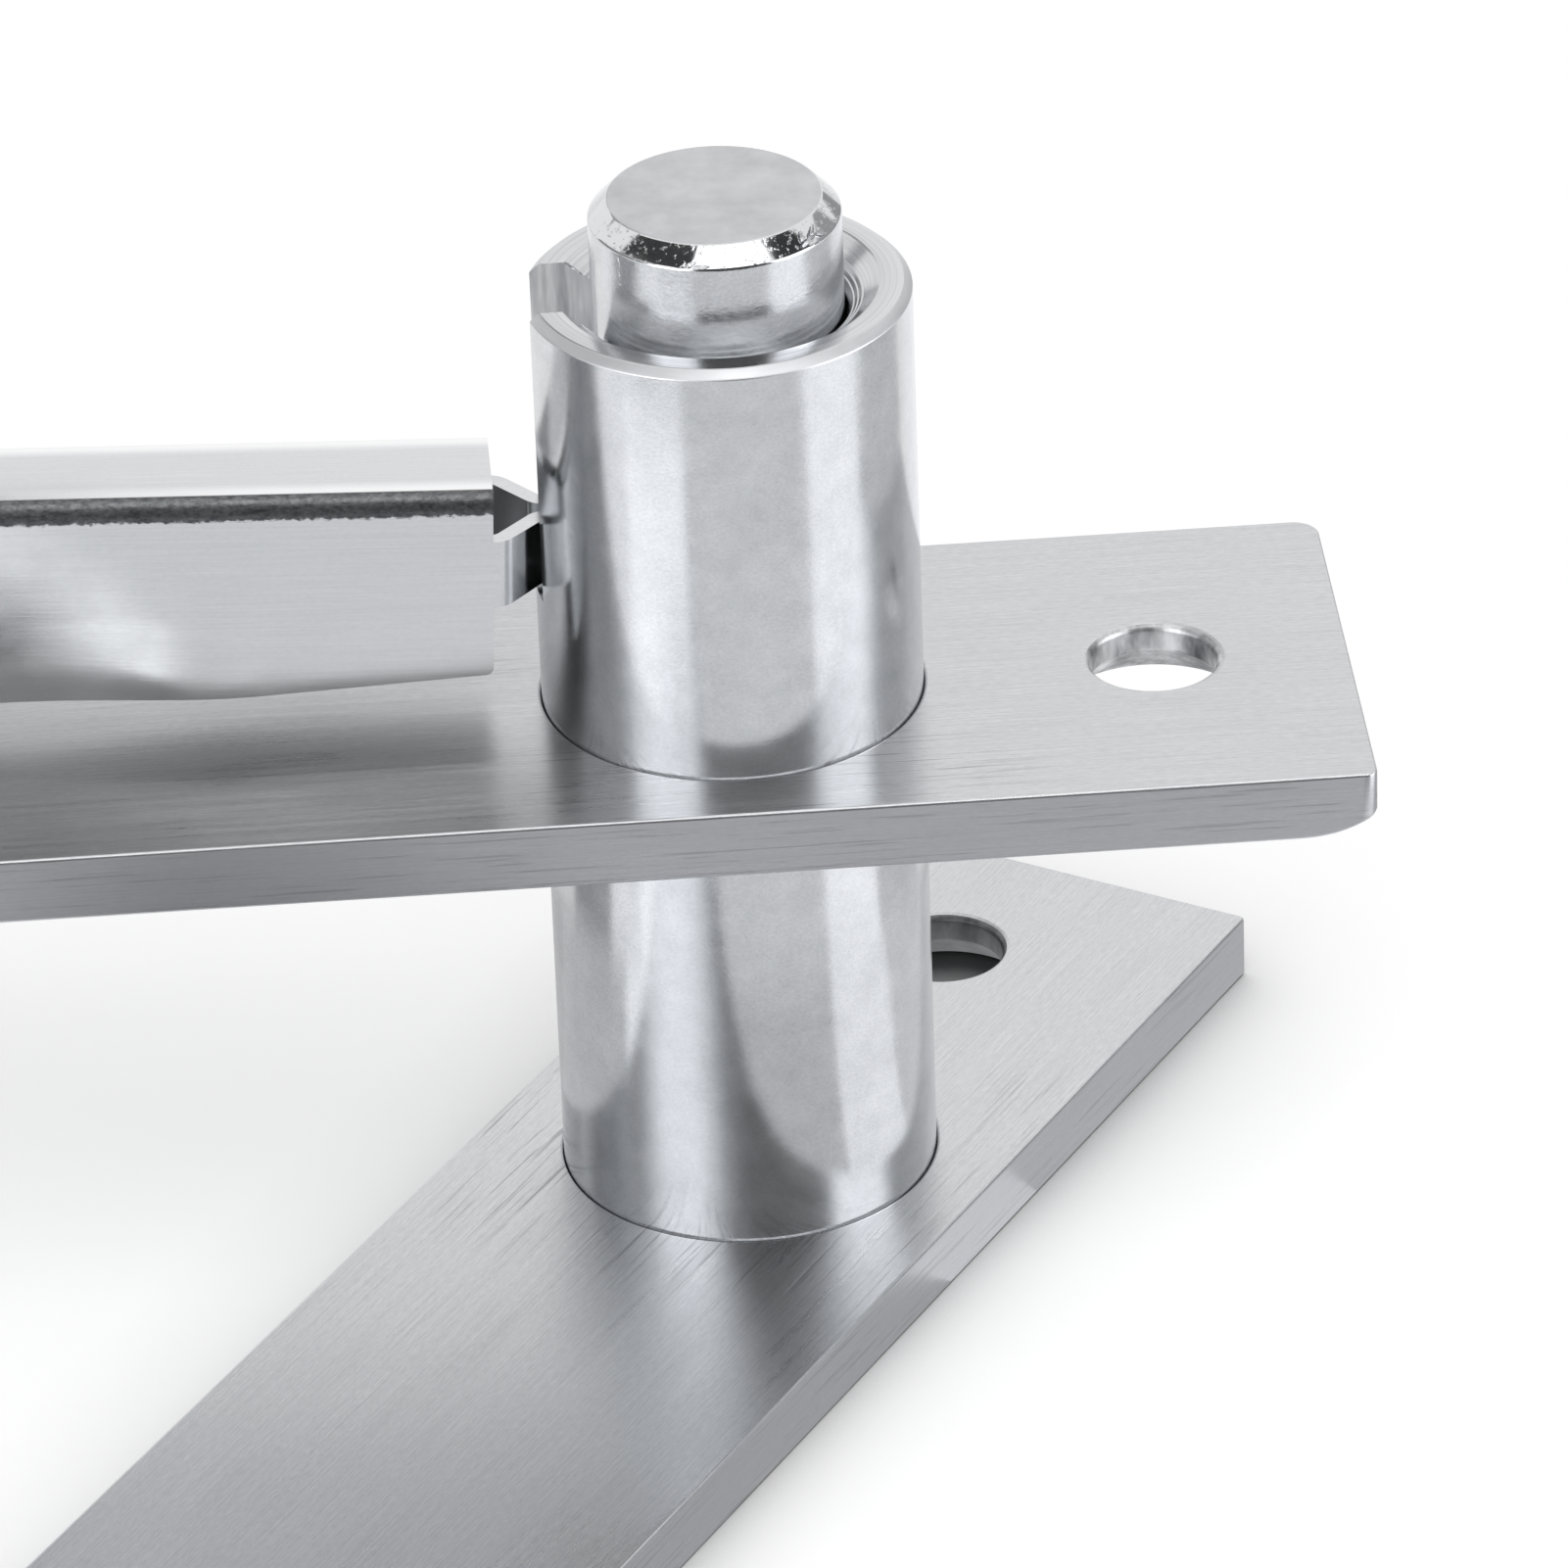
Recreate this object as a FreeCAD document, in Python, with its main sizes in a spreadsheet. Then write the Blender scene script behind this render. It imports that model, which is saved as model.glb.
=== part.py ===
import FreeCAD, Part
import math
import os
import re
import Sketcher

# Top pivot of a swing door.
# The frame leaf is a flat plate with a slotted barrel that guides the pivot pin.
# A pressed channel lever on the plate lifts the pin, and a screw from below tilts the lever.
# The door leaf is a second plate and barrel, turned about the pin.
# Origin: pivot axis at the upper face of the frame plate. +Z is up, +X runs to the plate's near end.

SIZES = {
    # Both plates
    "plate_width": 30.0,
    "plate_thickness": 4.0,
    "near_end": 35.5,
    "plate_beyond_screw": 30.5,
    "door_plate_length": 120.0,
    "screw_hole_radius": 3.65,
    "countersink_radius": 6.0,
    "hole_inset": 11.2,
    "rounded_corner": 1.5,
    "clipped_corner": 0.7,
    # Both barrels
    "barrel_radius": 11.0,
    "barrel_length": 26.0,
    "barrel_bevel": 0.5,
    "press_clearance": 0.02,
    "mouth_radius": 9.1,
    "relief_radius": 7.6,
    "guide_height": 6.0,
    "slot_width": 6.2,
    "slot_clearance": 0.5,
    # Pivot pin
    "pin_radius": 7.15,
    "pin_top": 31.5,
    "pin_reach": 14.0,
    "pin_chamfer": 1.1,
    "running_clearance": 0.05,
    "notch_clearance": 0.45,
    # Lever, in its own frame: fulcrum axis at the origin, nose towards +X
    "fulcrum_distance": 52.0,
    "fulcrum_height": 9.1,
    "nose_dip": 2.6,
    "lever_width": 7.8,
    "lever_sheet": 1.0,
    "lever_bend": 1.2,
    "lever_top": 8.0,
    "nose_distance": 13.6,
    "nose_depth": 3.25,
    "belly_front": 23.8,
    "belly_front_depth": 4.4,
    "belly_middle": 10.4,
    "belly_depth": 4.8,
    "belly_back": 5.0,
    "tail_start": 17.0,
    "tail_depth": 1.0,
    "tail_beyond_screw": 5.5,
    "tail_round": 2.5,
    "nose_round": 1.0,
    "tongue_low": 0.95,
    "tongue_height": 4.1,
    "tongue_lead": 0.6,
    "tongue_run": 2.6,
    "tongue_gap": 0.8,
    "tongue_tip_distance": 3.5,
    "tongue_bend": 0.3,
    # Fulcrum bracket, its rivets, pin and clip
    "bracket_sheet": 2.0,
    "bracket_length": 14.0,
    "bracket_top": 13.9,
    "bracket_round": 5.0,
    "bracket_bend": 0.4,
    "side_clearance": 0.3,
    "rivet_radius": 1.5,
    "rivet_head_radius": 2.4,
    "rivet_head_height": 1.4,
    "rivet_sink_radius": 2.6,
    "rivet_spacing": 8.0,
    "fulcrum_pin_radius": 2.0,
    "fulcrum_head_radius": 3.2,
    "fulcrum_head_height": 1.2,
    "fulcrum_tail": 1.6,
    "clip_radius": 3.4,
    "clip_thickness": 0.6,
    "clip_opening": 2.2,
    "groove_depth": 0.45,
    "groove_play": 0.03,
    # Adjusting screw, its washer and its nut
    "screw_reach": 22.0,
    "screw_radius": 2.0,
    "screw_top": 18.7,
    "screw_head_radius": 3.5,
    "screw_head_height": 2.0,
    "head_clearance": 0.3,
    "screw_play": 0.2,
    "hex_flats": 2.5,
    "hex_depth": 1.3,
    "screw_washer_radius": 3.8,
    "screw_washer_thickness": 0.8,
    "trunnion_height": 13.5,
    "trunnion_radius": 3.1,
    "trunnion_play": 0.25,
    "journal_radius": 1.5,
    "journal_tail": 0.5,
    "journal_travel": 0.7,
    "journal_shift": 0.2,
    "thread_clearance": 0.04,
    "web_slot_travel": 2.0,
    "web_slot_shift": 0.5,
    "web_slot_radius": 2.4,
    # Door leaf
    "door_angle": 57.2,
    "bush_radius": 8.2,
    "washer_thickness": 1.0,
    "washer_inset": 0.5,
    "washer_clearance": 0.35,
}

# Lengths that several pieces share, as formulas of the sizes
FULCRUM_X = "(-fulcrum_distance)"
SCREW_X = "(-fulcrum_distance - screw_reach)"
FRAME_PLATE_LENGTH = "(near_end + fulcrum_distance + screw_reach + plate_beyond_screw)"
PLATE_UNDERSIDE = "(-plate_thickness)"
GUIDE_RADIUS = "(pin_radius + running_clearance)"
NOSE_LENGTH = "(fulcrum_distance - nose_distance)"
TAIL_LENGTH = "(screw_reach + tail_beyond_screw)"
TONGUE_TIP = "(fulcrum_distance - tongue_tip_distance)"
RIVET_HOLE = "(rivet_radius + press_clearance)"
LEVER_GAP = "(lever_width - 2 * lever_sheet)"
TONGUE_SPREAD = "(tongue_gap + 2 * lever_sheet)"
BRACKET_GAP = "(lever_width + 2 * side_clearance)"
BRACKET_WIDTH = "(lever_width + 2 * side_clearance + 2 * bracket_sheet)"
BRACKET_SIDE = "(lever_width / 2 + side_clearance + bracket_sheet)"
JOURNAL_END = "(lever_width / 2 + journal_tail)"
TRUNNION_SHOULDER = "(lever_width / 2 - lever_sheet - trunnion_play)"
DOOR_FACE = "(-plate_thickness - washer_thickness - barrel_length)"
HEAD_SEAT = "(-plate_thickness + screw_head_height + screw_play)"
NEAR_HOLE = "(near_end - hole_inset)"
FRAME_FAR_HOLE = "(hole_inset - fulcrum_distance - screw_reach - plate_beyond_screw)"
DOOR_FAR_HOLE = "(near_end + hole_inset - door_plate_length)"

# Where the dipped lever brings its tongues, at the pin's surface and at their tips
TONGUE_RUN_AT_PIN = "(fulcrum_distance - pin_radius)"
TONGUE_FLOOR_AT_PIN = (
    "(fulcrum_height - sin(nose_dip) * " + TONGUE_RUN_AT_PIN + " + cos(nose_dip) * tongue_low)"
)
TONGUE_TIP_X = (
    "(-fulcrum_distance + cos(nose_dip) * " + TONGUE_TIP
    + " + sin(nose_dip) * (tongue_low + tongue_height))"
)

# The trunnion in the lever's own frame
TRUNNION_RUN = (
    "(-cos(nose_dip) * screw_reach"
    " - sin(nose_dip) * (trunnion_height - fulcrum_height))"
)
TRUNNION_RISE = (
    "(-sin(nose_dip) * screw_reach"
    " + cos(nose_dip) * (trunnion_height - fulcrum_height))"
)

doc = FreeCAD.newDocument("top_pivot")
sheet = doc.addObject("Spreadsheet::Sheet", "Sizes")
for row, (alias, size) in enumerate(SIZES.items(), start=1):
    sheet.set("A%d" % row, alias)
    sheet.set("B%d" % row, str(size))
    sheet.setAlias("B%d" % row, alias)
doc.recompute()


def sized(formula):
    """A formula of size names, written for the sheet."""
    def named(word):
        return "Sizes." + word.group() if word.group() in SIZES else word.group()
    return re.sub(r"[a-z][a-z_]+", named, formula)


def number(formula):
    """The present value of a formula."""
    return float(sheet.evalExpression(sized(formula)))


def bind(item, field, formula):
    item.setExpression(field, sized(formula))


def new_body(label, x="0", y="0", z="0"):
    body = doc.addObject("PartDesign::Body", label)
    body.Label = label
    for field, formula in (("x", x), ("y", y), ("z", z)):
        bind(body, "Placement.Base." + field, formula)
    return body


def origin_plane(body, role):
    return [item for item in body.Origin.OriginFeatures if item.Role == role][0]


def new_sketch(body, plane, offset="0", across="0", along="0"):
    """A sketch on one of the body's own planes, moved along its normal and in its plane."""
    sketch = body.newObject("Sketcher::SketchObject", body.Label + "_sketch")
    sketch.AttachmentSupport = [(origin_plane(body, plane), "")]
    sketch.MapMode = "FlatFace"
    for field, formula in (("x", across), ("y", along), ("z", offset)):
        bind(sketch, "AttachmentOffset.Base." + field, formula)
    return sketch


def at(x, y):
    return FreeCAD.Vector(number(x), number(y), 0)


def hold(sketch, kind, formula, *target):
    """A dimension of a sketch that follows a formula."""
    index = sketch.addConstraint(Sketcher.Constraint(kind, *target, number(formula)))
    bind(sketch, "Constraints[%d]" % index, formula)


def hold_point(sketch, geometry, point, x, y):
    hold(sketch, "DistanceX", x, -1, 1, geometry, point)
    hold(sketch, "DistanceY", y, -1, 1, geometry, point)


def outline(sketch, corners):
    """A closed outline of straight lines through corners given as formulas."""
    places = [at(x, y) for x, y in corners]
    following = places[1:] + places[:1]
    lines = [
        sketch.addGeometry(Part.LineSegment(start, end), False)
        for start, end in zip(places, following)
    ]
    for line, next_line in zip(lines, lines[1:] + lines[:1]):
        sketch.addConstraint(Sketcher.Constraint("Coincident", line, 2, next_line, 1))
    for line, (x, y) in zip(lines, corners):
        hold_point(sketch, line, 1, x, y)


def rectangle(sketch, left, right, low, high):
    outline(sketch, [(left, low), (right, low), (right, high), (left, high)])


def circle(sketch, x, y, radius):
    ring = sketch.addGeometry(Part.Circle(at(x, y), FreeCAD.Vector(0, 0, 1), number(radius)), False)
    hold_point(sketch, ring, 3, x, y)
    hold(sketch, "Radius", radius, ring)


def obround(sketch, travel, radius):
    """A slot outline centred on the sketch's origin, its straight length along the first axis."""
    reach = travel + " / 2"
    up = FreeCAD.Vector(0, 0, 1)
    right_ring = Part.Circle(at(reach, "0"), up, number(radius))
    left_ring = Part.Circle(at("-" + reach, "0"), up, number(radius))
    shapes = [
        Part.ArcOfCircle(right_ring, -math.pi / 2, math.pi / 2),
        Part.LineSegment(at(reach, radius), at("-" + reach, radius)),
        Part.ArcOfCircle(left_ring, math.pi / 2, 3 * math.pi / 2),
        Part.LineSegment(at("-" + reach, "-(" + radius + ")"), at(reach, "-(" + radius + ")")),
    ]
    loop = [sketch.addGeometry(shape, False) for shape in shapes]
    for piece, next_piece in zip(loop, loop[1:] + loop[:1]):
        sketch.addConstraint(Sketcher.Constraint("Tangent", piece, 2, next_piece, 1))
    hold_point(sketch, loop[0], 3, reach, "0")
    hold_point(sketch, loop[2], 3, "-" + reach, "0")
    hold(sketch, "Radius", radius, loop[0])


def pad(body, sketch, length, both_ways=False, reverse=False):
    feature = body.newObject("PartDesign::Pad", body.Label + "_pad")
    feature.Profile = sketch
    feature.Midplane = both_ways
    feature.Reversed = reverse
    bind(feature, "Length", length)
    doc.recompute()
    return feature


def cut(body, sketch, length, both_ways=False, reverse=False):
    """A pocket that is sure to take material away."""
    before = body.Shape.Volume
    feature = body.newObject("PartDesign::Pocket", body.Label + "_pocket")
    feature.Profile = sketch
    feature.Midplane = both_ways
    feature.Reversed = reverse
    bind(feature, "Length", length)
    doc.recompute()
    if not body.Shape.Volume < before:
        raise RuntimeError("a pocket of " + body.Label + " cuts nothing")
    return feature


def turn(body, plane, corners):
    """A solid turned about the second axis of the plane, from a half section."""
    sketch = new_sketch(body, plane)
    outline(sketch, corners)
    feature = body.newObject("PartDesign::Revolution", body.Label + "_turned")
    feature.Profile = sketch
    feature.ReferenceAxis = (sketch, ["V_Axis"])
    feature.Angle = 360
    doc.recompute()
    return feature


def near(a, b):
    return abs(a - b) < 0.001


def dress(body, kind, wanted, field, formula):
    """Rounds or bevels the edges of the body whose bounding box passes a test."""
    base = body.Tip
    names = ["Edge%d" % (i + 1) for i, edge in enumerate(base.Shape.Edges) if wanted(edge.BoundBox)]
    if not names:
        raise RuntimeError("no edge to dress on " + body.Label)
    feature = body.newObject("PartDesign::" + kind, body.Label + "_" + kind.lower())
    feature.Base = (base, names)
    bind(feature, field, formula)
    doc.recompute()


def round_edges(body, wanted, radius):
    dress(body, "Fillet", wanted, "Radius", radius)


def bevel_edges(body, wanted, size):
    dress(body, "Chamfer", wanted, "Size", size)


def level(low, high, formula):
    """Whether both ends of an extent lie at a size."""
    return near(low, number(formula)) and near(high, number(formula))


def rim(height, radius):
    """A test for a circle of a radius that lies flat at a height."""
    def wanted(box):
        flat = level(box.ZMin, box.ZMax, height)
        return flat and near(box.XLength, 2 * number(radius)) and near(box.YLength, 2 * number(radius))
    return wanted


def crossing(x, z):
    """A test for a straight edge along Y."""
    return lambda box: level(box.XMin, box.XMax, x) and level(box.ZMin, box.ZMax, z)


def lengthwise(y, z):
    """A test for the two straight edges along X at a height, as far to either side."""
    def wanted(box):
        beside = near(box.YLength, 0) and near(abs(box.YMin), number(y))
        return beside and level(box.ZMin, box.ZMax, z)
    return wanted


def upright(x, y=None):
    """A test for a straight edge along Z, as high as the strip or plate that it bounds."""
    def wanted(box):
        beside = y is None or level(box.YMin, box.YMax, y)
        return level(box.XMin, box.XMax, x) and near(box.YLength, 0) and box.ZLength > 1 and beside
    return wanted


def screw_plate(label, length, far_hole, z="0"):
    """A flat bar with a hole for its barrel on the axis and a countersunk hole at each end."""
    body = new_body(label, z=z)
    bar = new_sketch(body, "XY_Plane")
    rectangle(bar, "near_end - " + length, "near_end", "-plate_width / 2", "plate_width / 2")
    pad(body, bar, "plate_thickness", reverse=True)
    seat = new_sketch(body, "XY_Plane")
    circle(seat, "0", "0", "barrel_radius + press_clearance")
    cut(body, seat, "plate_thickness")
    holes = new_sketch(body, "XY_Plane")
    circle(holes, NEAR_HOLE, "0", "screw_hole_radius")
    circle(holes, far_hole, "0", "screw_hole_radius")
    cut(body, holes, "plate_thickness")
    countersink = "countersink_radius - screw_hole_radius"
    bevel_edges(body, rim(PLATE_UNDERSIDE, "screw_hole_radius"), countersink)
    return body


def frame_plate():
    body = screw_plate("frame_plate", FRAME_PLATE_LENGTH, FRAME_FAR_HOLE)
    screw = new_sketch(body, "XY_Plane")
    circle(screw, SCREW_X, "0", "screw_radius + screw_play")
    cut(body, screw, "plate_thickness")
    recess = new_sketch(body, "XY_Plane", offset=PLATE_UNDERSIDE)
    circle(recess, SCREW_X, "0", "screw_head_radius + head_clearance")
    cut(body, recess, "screw_head_height + screw_play", reverse=True)
    rivets = new_sketch(body, "XY_Plane")
    circle(rivets, FULCRUM_X + " + rivet_spacing / 2", "0", RIVET_HOLE)
    circle(rivets, FULCRUM_X + " - rivet_spacing / 2", "0", RIVET_HOLE)
    cut(body, rivets, "plate_thickness")
    bevel_edges(body, rim(PLATE_UNDERSIDE, RIVET_HOLE), "rivet_sink_radius - rivet_radius")
    round_edges(body, upright("near_end", "plate_width / 2"), "rounded_corner")
    bevel_edges(body, upright("near_end", "-plate_width / 2"), "clipped_corner")
    return body


def door_plate():
    return screw_plate("door_plate", "door_plate_length", DOOR_FAR_HOLE, DOOR_FACE)


def frame_barrel():
    """The guide of the pin: close bore at the foot, relieved bore above, slot for the tongues."""
    body = new_body("frame_barrel")
    turn(body, "XZ_Plane", [
        (GUIDE_RADIUS, PLATE_UNDERSIDE),
        ("barrel_radius", PLATE_UNDERSIDE),
        ("barrel_radius", "barrel_length - barrel_bevel"),
        ("barrel_radius - barrel_bevel", "barrel_length"),
        ("mouth_radius", "barrel_length"),
        ("relief_radius", "barrel_length - mouth_radius + relief_radius"),
        ("relief_radius", "guide_height"),
        (GUIDE_RADIUS, "guide_height"),
    ])
    slot = new_sketch(body, "YZ_Plane")
    floor = TONGUE_FLOOR_AT_PIN + " - slot_clearance"
    rectangle(slot, "-slot_width / 2", "slot_width / 2", floor, "barrel_length + barrel_bevel")
    cut(body, slot, "barrel_radius + barrel_bevel")
    return body


def door_barrel():
    """A plain barrel, bored right through for its bush."""
    body = new_body("door_barrel", z=DOOR_FACE)
    turn(body, "XZ_Plane", [
        ("bush_radius + press_clearance", PLATE_UNDERSIDE),
        ("barrel_radius", PLATE_UNDERSIDE),
        ("barrel_radius", "barrel_length"),
        ("bush_radius + press_clearance", "barrel_length"),
    ])
    return body


def door_bush():
    body = new_body("door_bush", z=DOOR_FACE)
    turn(body, "XZ_Plane", [
        (GUIDE_RADIUS, PLATE_UNDERSIDE),
        ("bush_radius", PLATE_UNDERSIDE),
        ("bush_radius", "barrel_length"),
        (GUIDE_RADIUS, "barrel_length"),
    ])
    return body


def thrust_washer():
    body = new_body("thrust_washer", z=PLATE_UNDERSIDE + " - washer_thickness")
    ring = new_sketch(body, "XY_Plane")
    circle(ring, "0", "0", "barrel_radius - washer_inset")
    circle(ring, "0", "0", "pin_radius + washer_clearance")
    pad(body, ring, "washer_thickness")
    return body


def pivot_pin():
    """The bolt of the pivot, notched on one side for the lever's tongues."""
    body = new_body("pivot_pin")
    turn(body, "XZ_Plane", [
        ("0", "-pin_reach"),
        ("pin_radius - pin_chamfer", "-pin_reach"),
        ("pin_radius", "-pin_reach + pin_chamfer"),
        ("pin_radius", "pin_top - pin_chamfer"),
        ("pin_radius - pin_chamfer", "pin_top"),
        ("0", "pin_top"),
    ])
    notch = new_sketch(body, "XZ_Plane")
    notch_floor = TONGUE_FLOOR_AT_PIN + " - notch_clearance"
    notch_end = TONGUE_TIP_X + " + notch_clearance"
    notch_roof = notch_floor + " + tongue_height + 2 * notch_clearance"
    rectangle(notch, "-pin_radius - pin_chamfer", notch_end, notch_floor, notch_roof)
    cut(body, notch, TONGUE_SPREAD + " + 2 * notch_clearance", both_ways=True)
    return body


def lever():
    """A channel pressed from sheet, open below, with two tongues bent in from its nose."""
    body = new_body("lever", x=FULCRUM_X, z="fulcrum_height")
    body.Placement.Rotation = FreeCAD.Rotation(FreeCAD.Vector(0, 1, 0), 1)
    bind(body, "Placement.Rotation.Angle", "nose_dip")
    side = new_sketch(body, "XZ_Plane")
    outline(side, [
        (NOSE_LENGTH, "lever_top"),
        (NOSE_LENGTH, "-nose_depth"),
        ("belly_front", "-belly_front_depth"),
        ("belly_middle", "-belly_depth"),
        ("-belly_back", "-belly_depth"),
        ("-tail_start", "-tail_depth"),
        ("-" + TAIL_LENGTH, "-tail_depth"),
        ("-" + TAIL_LENGTH, "lever_top"),
    ])
    pad(body, side, "lever_width", both_ways=True)
    round_edges(body, crossing(NOSE_LENGTH, "-nose_depth"), "nose_round")
    round_edges(body, crossing("-" + TAIL_LENGTH, "-tail_depth"), "tail_round")
    round_edges(body, lengthwise("lever_width / 2", "lever_top"), "lever_bend")
    inside = new_sketch(body, "XZ_Plane")
    rectangle(inside, "-lever_sheet - " + TAIL_LENGTH, "lever_sheet + " + NOSE_LENGTH,
              "-belly_depth - lever_sheet", "lever_top - lever_sheet")
    cut(body, inside, LEVER_GAP, both_ways=True)
    round_edges(body, lengthwise(LEVER_GAP + " / 2", "lever_top - lever_sheet"), "lever_bend - lever_sheet")
    add_tongues(body)
    fulcrum = new_sketch(body, "XZ_Plane")
    circle(fulcrum, "0", "0", "fulcrum_pin_radius + running_clearance")
    cut(body, fulcrum, "lever_width", both_ways=True)
    journals = new_sketch(body, "XZ_Plane", across=TRUNNION_RUN + " + journal_shift", along=TRUNNION_RISE)
    obround(journals, "journal_travel", "journal_radius + running_clearance")
    cut(body, journals, "lever_width", both_ways=True)
    tip_slot = new_sketch(body, "XY_Plane", offset="lever_top", across=TRUNNION_RUN + " + web_slot_shift")
    obround(tip_slot, "web_slot_travel", "web_slot_radius")
    cut(body, tip_slot, "2 * lever_sheet")
    return body


def add_tongues(body):
    """One strip bent in and straight again, and its mirror image."""
    bend = "atan((lever_width / 2 - lever_sheet - tongue_gap / 2) / tongue_run)"
    setback = "lever_sheet * tan(" + bend + " / 2)"
    root = NOSE_LENGTH + " - lever_sheet"
    first = NOSE_LENGTH + " + tongue_lead"
    second = first + " + tongue_run"
    strip = new_sketch(body, "XY_Plane", offset="tongue_low")
    outline(strip, [
        (root, "-lever_width / 2"),
        (first, "-lever_width / 2"),
        (second, "-lever_sheet - tongue_gap / 2"),
        (TONGUE_TIP, "-lever_sheet - tongue_gap / 2"),
        (TONGUE_TIP, "-tongue_gap / 2"),
        (second + " - " + setback, "-tongue_gap / 2"),
        (first + " - " + setback, "lever_sheet - lever_width / 2"),
        (root, "lever_sheet - lever_width / 2"),
    ])
    strip_pad = pad(body, strip, "tongue_height")
    mirror = body.newObject("PartDesign::Mirrored", body.Label + "_mirror")
    mirror.Originals = [strip_pad]
    mirror.MirrorPlane = (origin_plane(body, "XZ_Plane"), [""])
    body.Tip = mirror
    doc.recompute()
    round_edges(body, upright(first), "tongue_bend + lever_sheet")
    round_edges(body, upright(first + " - " + setback), "tongue_bend")
    round_edges(body, upright(second), "tongue_bend")
    round_edges(body, upright(second + " - " + setback), "tongue_bend + lever_sheet")


def fulcrum_bracket():
    """A sheet bent to a U that stands on the plate astride the lever."""
    body = new_body("fulcrum_bracket", x=FULCRUM_X)
    section = new_sketch(body, "YZ_Plane")
    inner = BRACKET_GAP + " / 2"
    outline(section, [
        ("-" + BRACKET_SIDE, "0"),
        (BRACKET_SIDE, "0"),
        (BRACKET_SIDE, "bracket_top"),
        (inner, "bracket_top"),
        (inner, "bracket_sheet"),
        ("-" + inner, "bracket_sheet"),
        ("-" + inner, "bracket_top"),
        ("-" + BRACKET_SIDE, "bracket_top"),
    ])
    pad(body, section, "bracket_length", both_ways=True)
    round_edges(body, lengthwise(BRACKET_SIDE, "0"), "bracket_bend + bracket_sheet")
    round_edges(body, lengthwise(inner, "bracket_sheet"), "bracket_bend")
    round_edges(body, crossing("bracket_length / 2", "bracket_top"), "bracket_round")
    round_edges(body, crossing("-bracket_length / 2", "bracket_top"), "bracket_round")
    ears = new_sketch(body, "XZ_Plane")
    circle(ears, "0", "fulcrum_height", "fulcrum_pin_radius + press_clearance")
    cut(body, ears, BRACKET_WIDTH, both_ways=True)
    rivets = new_sketch(body, "XY_Plane")
    circle(rivets, "rivet_spacing / 2", "0", RIVET_HOLE)
    circle(rivets, "-rivet_spacing / 2", "0", RIVET_HOLE)
    cut(body, rivets, "bracket_sheet", reverse=True)
    return body


def bracket_rivet(label, x):
    """A rivet flush with the plate's underside, its head on the bracket's floor."""
    body = new_body(label, x=x)
    turn(body, "XZ_Plane", [
        ("0", PLATE_UNDERSIDE),
        ("rivet_sink_radius", PLATE_UNDERSIDE),
        ("rivet_radius", "-plate_thickness + rivet_sink_radius - rivet_radius"),
        ("rivet_radius", "bracket_sheet"),
        ("rivet_head_radius", "bracket_sheet"),
        ("rivet_head_radius", "bracket_sheet + rivet_head_height"),
        ("0", "bracket_sheet + rivet_head_height"),
    ])
    return body


def fulcrum_pin():
    """A headed pin through both ears, grooved for its clip."""
    body = new_body("fulcrum_pin", x=FULCRUM_X, z="fulcrum_height")
    groove = "fulcrum_pin_radius - groove_depth"
    groove_end = BRACKET_SIDE + " + clip_thickness + 2 * groove_play"
    turn(body, "XY_Plane", [
        ("0", "-fulcrum_head_height - " + BRACKET_SIDE),
        ("fulcrum_head_radius", "-fulcrum_head_height - " + BRACKET_SIDE),
        ("fulcrum_head_radius", "-" + BRACKET_SIDE),
        ("fulcrum_pin_radius", "-" + BRACKET_SIDE),
        ("fulcrum_pin_radius", BRACKET_SIDE),
        (groove, BRACKET_SIDE),
        (groove, groove_end),
        ("fulcrum_pin_radius", groove_end),
        ("fulcrum_pin_radius", BRACKET_SIDE + " + fulcrum_tail"),
        ("0", BRACKET_SIDE + " + fulcrum_tail"),
    ])
    return body


def open_clip(label, plane, hub_radius, **place):
    """A spring clip pushed into a groove from one side."""
    body = new_body(label, **place)
    ring = new_sketch(body, plane)
    circle(ring, "0", "0", "clip_radius")
    circle(ring, "0", "0", hub_radius)
    pad(body, ring, "clip_thickness", both_ways=True)
    mouth = new_sketch(body, plane)
    rectangle(mouth, "0", "clip_radius + clip_thickness", "-clip_opening / 2", "clip_opening / 2")
    cut(body, mouth, "clip_thickness", both_ways=True)
    return body


def fulcrum_clip():
    side = BRACKET_SIDE + " + groove_play + clip_thickness / 2"
    hub = "fulcrum_pin_radius - groove_depth + groove_play"
    return open_clip("fulcrum_clip", "XZ_Plane", hub, x=FULCRUM_X, y=side, z="fulcrum_height")


def screw_clip():
    height = "screw_washer_thickness + groove_play + clip_thickness / 2"
    hub = "screw_radius - groove_depth + groove_play"
    return open_clip("screw_clip", "XY_Plane", hub, x=SCREW_X, z=height)


def screw_washer():
    body = new_body("screw_washer", x=SCREW_X)
    ring = new_sketch(body, "XY_Plane")
    circle(ring, "0", "0", "screw_washer_radius")
    circle(ring, "0", "0", "screw_radius + screw_play")
    pad(body, ring, "screw_washer_thickness")
    return body


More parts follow.
